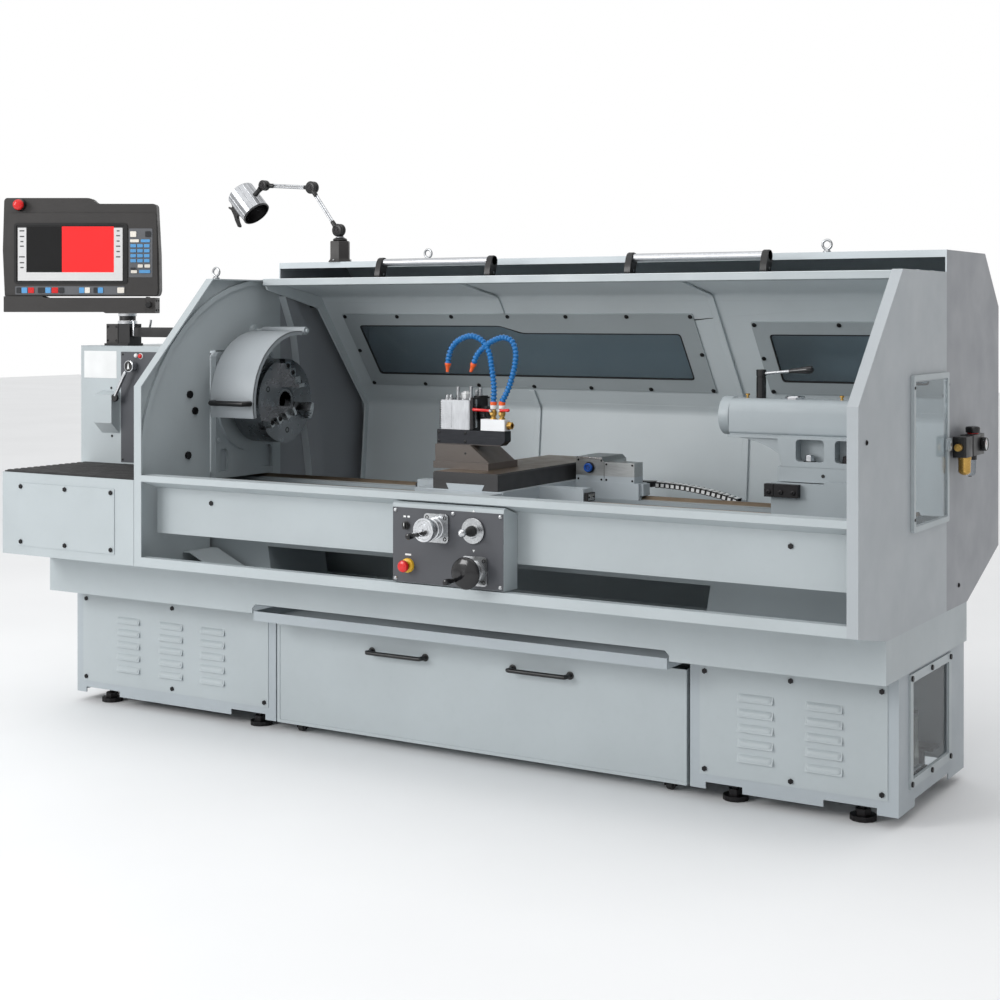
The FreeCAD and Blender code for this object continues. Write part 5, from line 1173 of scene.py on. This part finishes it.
for left, right, top in ((1496, 1590, 1028), (1610, 1714, 1016)):
    for x, z in ((left, 960), (right, 960), (left, top), (right, top)):
        wings.bolt((x, 712, z), "y", 4, 2.5, -1, 1)
wings.done(0.5)

chain = Piece("carrier_links", "machine", "drag_chain", BLACK, WHITE, OXIDE)
CHAIN_COUNT = 16
for number in range(CHAIN_COUNT):
    along = (number + 0.5) / CHAIN_COUNT
    x, z = 1745 + 320 * along, 938 - 44 * along * along
    slope = math.atan2(-88 * along, 320)
    chain.turn = Matrix.Translation((x, 851, z)) @ Matrix.Rotation(-slope, 4, "Y")
    plate = cell(-9.4, 9.4, -9, 11, 4, 3)
    for near, far in ((-21, -16), (16, 21)):
        chain.prism("y", plate, near, far)
    chain.box((-7, 7), (-19, 15), (9.5, 12), 1)
    chain.box((-6, 6), (-21.8, -20.8), (-6, 6), 1)
    chain.box((-5.5, 5.5), (-16, 16), (-9, -6.6))
    for side, proud in ((-21, -0.6), (21, 0.6)):
        chain.lathe("y", (0, side, 1), [(0, 3.4), (proud, 2.8), (proud, 0)], 12, 2)
chain.turn = None
chain.box((1672, 1735), (830, 872), (930, 950))
for x in range(1678, 1732, 9):
    chain.box((x, x + 3), (829.2, 830.2), (933, 947), 2)
chain.done(replaces="drag_chain")

# ---------------------------------------------------------------- right end

PLATE_X = 2800
door_loop = cell(482, 856, 872, 1364, 8, 4)
door_hole = cell(500, 838, 890, 1346, 6, 4)
side = Piece("side_door_leaf", "side_door", "side_door", FRONT, PANE_CLEAR, CAST, OXIDE)
side.prism("x", [door_loop, door_hole], PLATE_X + 0.4, PLATE_X + 11.6)
side.prism("x", [door_hole, cell(504, 834, 894, 1342, 5, 4)], PLATE_X + 3, PLATE_X + 8.6, 2)
side.prism("x", door_hole, PLATE_X + 4.5, PLATE_X + 8, 1)
side.prism("x", cell(813, 851, 1105, 1147, 6, 4), PLATE_X + 11.4, PLATE_X + 20, 2)
side.prism("x", cell(822, 842, 1112, 1140, 4, 4), PLATE_X + 20, PLATE_X + 24, 2)
side.lathe("x", (0, 832, 1126), [(PLATE_X + 24, 6), (PLATE_X + 24.2, 0)], 18, 3)
for z in (912, 1324):
    side.lathe("x", (0, 490, z), [(PLATE_X + 11.6, 5), (PLATE_X + 14, 4.4), (PLATE_X + 14, 0)], 18, 3)
side.done(0.8, replaces="side_door")

plate_trim = Piece("end_plate_trim", "machine", "right_end_plate", OXIDE, LIT_INNER)
for y, z in ((880, 1322), (70, 1180), (1000, 640)):
    plate_trim.bolt((PLATE_X, y, z), "x", 8, 4.5, 1)
plate_trim.done(0.3)

air_x = PLATE_X + 32
air = Piece(
    "air_preparation", "machine", "air_unit", BLACK, CAST, BRASS, PANE_CLEAR, WHITE, RED, GLOSS_BLACK, CHROME
)
air.prism("x", cell(930, 1060, 1090, 1140, 6, 4), PLATE_X + 0.2, PLATE_X + 6, 1)
air.box((PLATE_X + 6, air_x - 20), (980, 1020), (1096, 1134), 1)
air.prism("z", cell(air_x - 20, air_x + 26, 884, 966, 7, 4), 1080, 1148)
air.prism("z", cell(air_x - 20, air_x + 26, 970, 1108, 7, 4), 1080, 1150)
air.box((air_x - 14, air_x + 20), (964, 972), (1090, 1140), 6)
air.lathe("z", (air_x + 3, 947, 1080), [
    (0, 22), (-6, 22.6), (-12, 21), (-52, 20), (-58, 15), (-62, 6), (-62, 0)
], 36, 2)
air.lathe("z", (air_x + 3, 1012, 1080), [(0, 22.8), (-14, 22.8), (-15, 20)], 36)
air.lathe("z", (air_x + 3, 1012, 1066), [(0, 20.5), (-44, 19), (-52, 15), (-56, 8), (-56, 0)], 36, 3)
air.lathe("z", (air_x + 3, 1012, 1012), [(0, 6), (-4, 6), (-4, 0)], 16, 6)
air.lathe("x", (0, 1078, 1114), [
    (air_x + 26, 21), (air_x + 28, 24), (air_x + 39, 24), (air_x + 42, 22), (air_x + 42, 20),
    (air_x + 40, 19.6)
], 40, 6)
air.lathe("x", (0, 1078, 1114), [(air_x + 40, 19.8), (air_x + 40.2, 0)], 40, 4)
DASH = ((15, 0.7), (18, 0.7), (18, -0.7), (15, -0.7))  # the gauge's scale marks
for angle in range(-40, 221, 26):
    c, s = around((0, 0), 1, angle)
    corners = [(1078 + r * c - w * s, 1114 + r * s + w * c) for r, w in DASH]
    air.prism("x", corners, air_x + 40.2, air_x + 40.6)
air.prism("x", [(1077, 1112), (1079, 1112), (1069, 1126), (1068, 1125)], air_x + 40.6, air_x + 41, 5)
air.lathe("z", (air_x + 3, 1046, 1150), [(0, 18), (2, 18), (2, 20), (4, 20)], 36, 5)
air.lathe("z", (air_x + 3, 1046, 1154), [(0, 0), (0, 24), (16, 25), (20, 22), (22, 14), (22, 0)], 20, 6)
air.tube([(air_x + 3, 884, 1114), (air_x + 3, 872, 1114), (air_x + 3, 865, 1114)], [13.5, 13.5, 12], 20, 2)
air.done(0.7, replaces="air_unit")

window = Piece("pedestal_window", "machine", "right_pedestal", PANE_CLEAR, OXIDE, CAST, YELLOW)
window.prism("x", cell(512, 926, 77, 413, 6, 4), 2783.5, 2786.5)
for y in (514, 719, 924):
    for z in (79, 411):
        window.bolt((2795, y, z), "x", 6.5, 3.5, 1, 1)
window.done()

oiler = Piece("way_oiler", "machine", "lubricator", TANK_CLEAR, YELLOW, BLACK, ALU, CAST, BRASS)
oiler.box((2594, 2734), (590, 810), (64, 69), 4)
oiler.prism("z", cell(2600, 2728, 601, 799, 16, 5), 72, 236)
oiler.prism("z", cell(2599, 2729, 600, 800, 18, 5), 236, 250, 2)
oiler.lathe("z", (2664, 650, 250), [
    (0, 0), (0, 22), (6, 26), (26, 26), (30, 20), (44, 16), (52, 12), (55, 0)
], 30, 1)
oiler.lathe("z", (2664, 745, 250), [
    (0, 42), (8, 42), (9, 38), (50, 38), (51, 41), (56, 41), (57, 36), (72, 34), (79, 24), (80, 0)
], 40, 2)
for angle in range(0, 360, 20):
    x, y = around((2664, 745), 39, angle)
    oiler.box((x - 1, x + 1), (y - 1, y + 1), (260, 298), 2)
oiler.lathe("x", (0, 700, 262), [(2680, 7), (2716, 7), (2717, 9), (2726, 9), (2727, 0)], 18, 5)
oiler.done(0.8, replaces="lubricator")

# ---------------------------------------------------------------- work lamp

LAMP_Y = 900
SHOULDER, ELBOW, WRIST = (285, 1899), (148, 2078), (-104, 2097)
NEAR, FAR = (875.8, 891.6), (892.2, 908)  # the two rows of joints, from front to back


def joint_disc(piece, x, z, low, high, m=0):
    """A moulded round joint with a raised ring and a screw."""
    rim = 21.8 if z == WRIST[1] else 26
    profile = [
        (low, 0), (low, rim - 6), (low + 2, rim - 2), (low + 4, rim), (high - 4, rim), (high - 2, rim - 2),
        (high, rim - 6), (high, 0)
    ]
    piece.lathe("y", (x, 0, z), profile, 36, m)
    piece.lathe("y", (x, low, z), [
        (0, 14), (-1.6, 13), (-1.6, 10), (-0.2, 9.6), (-0.2, 6), (-2, 5.4), (-2, 0)
    ], 28, m + 1)


def lamp_link(name, body, start, end, low, high):
    """Two thin rods between two round joints."""
    link = Piece(name, body, body, BLACK, OXIDE, LAMP_METAL)
    for x, z in (start, end):
        joint_disc(link, x, z, low, high)
    a, b = Vector((start[0], (low + high) / 2, start[1])), Vector((end[0], (low + high) / 2, end[1]))
    ahead = (b - a).normalized()
    across = Vector((-ahead.z, 0, ahead.x))
    for way in (-1, 1):
        link.tube([a + ahead * 36 + across * 4.6 * way, b - ahead * 36 + across * 4.6 * way], 3.9, 14, 2)
    for point, way in ((a, 1), (b, -1)):
        link.tube([
            point + ahead * 18 * way, point + ahead * 30 * way, point + ahead * 40 * way,
            point + ahead * 46 * way
        ], [11, 9.6, 9.6, 8.4], 20)
    link.done(0.3, replaces=body)


foot = Piece("lamp_pedestal", "machine", "lamp_base", CASE, BLACK, STEEL)
foot.lathe("z", (285, LAMP_Y, 1769.1), [
    (0, 51.5), (3, 51.5), (10, 45), (18, 43.5), (82, 43.5), (85.5, 41), (85.5, 0)
], 6)
for angle in (30, 150, 270):
    foot.bolt((*around((285, LAMP_Y), 43, angle), 1776), "z", 4.5, 4, 1, 2)
foot.done(1.2, replaces="lamp_base")
turret = Piece("lamp_fork", "lamp_turret", "lamp_turret", BLACK, OXIDE, CHROME)
turret.lathe("z", (285, LAMP_Y, 1855.4), [
    (0, 0), (0, 28), (4, 30), (9, 27), (14, 17), (20, 13), (28, 12)
], 36)
turret.lathe("z", (285, LAMP_Y, 1868), [(0, 17.5), (4, 17.5), (4, 15)], 24, 2)
joint_disc(turret, *SHOULDER, *FAR)
turret.done(0.3, replaces="lamp_turret")
lamp_link("lamp_lower_link", "lamp_lower_arm", SHOULDER, ELBOW, *NEAR)
lamp_link("lamp_upper_link", "lamp_upper_arm", ELBOW, WRIST, *FAR)

CAN_CENTRE = Vector((-196, LAMP_Y, 2027))
# The lamp's head, with Z along its axis towards the light.
CAN = Matrix.Translation(CAN_CENTRE) @ Matrix((
    (0.7317, 0, 0.6816, 0), (0, 1, 0, 0), (0.6816, 0, -0.7317, 0), (0, 0, 0, 1)
))
head = Piece("lamp_can", "lamp_head", "lamp_head", LAMP_METAL, BLACK, OXIDE, WHITE, OXIDE)
joint_disc(head, *WRIST, *NEAR, 1)
head.tube(
    [(-117, 884, 2084), (-128, 884, 2074), (-140, 884, 2064), (-152, 886, 2054)], [12, 10, 10, 12], 20, 1
)
head.turn = CAN
flutes = []
for number in range(20):
    for offset, radius in ((0, 59.6), (1.6, 60.9), (16.4, 60.9), (18, 59.6)):
        flutes.append(around((0, 0), radius, 18 * number + offset))
bore = [around((0, 0), 57.4, a) for a in range(0, 360, 6)]
head.prism("z", [flutes, bore], -60, 61)
head.lathe("z", (0, 0, 0), [(-60, 60), (-63, 58), (-65.5, 50), (-66, 0)], 48)
head.lathe("z", (0, 0, 0), [(60.6, 61), (65, 61.4), (66, 60), (66, 56), (61, 55.6), (52, 56.8)], 48, 1)
head.lathe("z", (0, 0, 0), [(60, 56), (20, 46), (-16, 26), (-20, 0)], 48, 2)
head.lathe("z", (0, 0, 0), [(-18, 0), (-18, 12), (6, 15), (20, 12), (26, 0)], 28, 3)
HOOK = [
    (-60, -62), (-65, -60), (-69, -48), (-76, -46), (-84, -60), (-89, -57), (-84, -40), (-90, -14), (-99, 8),
    (-106, 36), (-103, 44), (-96, 42), (-90, 22), (-80, 4), (-72, 0), (-66, 18), (-62, 60), (-59, 62)
]
head.prism("y", HOOK, -7, 7, 1)
head.done(0.4, replaces="lamp_head")

# ---------------------------------------------------------------- small parts of the enclosure

eyes = Piece("lifting_rings", "machine", "lifting_eyes", STEEL)
for x, y, z in ((17, 445, 1695), (717, 900, 1769), (2371, 900, 1769)):
    eyes.lathe("z", (x, y, z), [(0, 0), (0, 14), (4, 14), (8, 10), (12, 7)], 28)
    eyes.tube([(across, y, up) for across, up in arc((x, z + 27), 16, -90, 270, 28)], 4.6, 12, 0, False)
eyes.done(replaces="lifting_eyes")

# ---------------------------------------------------------------- finishes of the CAD nodes that stay

FINISH = {
    "left_pedestal": (SHADED_SIDE, 1.2), "right_pedestal": (SHADED_SIDE, 1.2), "cover_panels": (FRONT, 1.0),
    "cover_screws": (OXIDE, 0.8), "levelling_feet": (OXIDE, 1.0), "drip_tray": (FRONT, 1.5),
    "left_end_plate": (FRONT, 1.2), "right_end_plate": (END, 1.2), "front_guard": (FRONT, 1.2),
    "bed": (BED, 1.5), "headstock": (CAST, 3.0), "headstock_cover": (FRONT, 2.0), "end_cover": (FRONT, 1.5),
    "rubber_mat": (RUBBER, 0.8), "rear_cover": (REAR_PAINTED_LIGHT, 1.2), "spindle": (STEEL, 1.0), "chuck": (TURNED, 2.0),
    "jaw_1": (STEEL, 1.2), "jaw_2": (STEEL, 1.2), "jaw_3": (STEEL, 1.2), "saddle": (SADDLE, 2.0),
    "cross_slide": (CROSS, 1.5), "tool_riser": (RISER, 1.2), "chip_drawer": (SHADED_SIDE, 1.0),
}
for name, (material, width) in FINISH.items():
    node = NODES[name]
    node.data.materials.clear()
    node.data.materials.append(material)
    node.data.shade_smooth()
    node.data.set_sharp_from_angle(angle=math.radians(SHARP))
    soften(node, width)
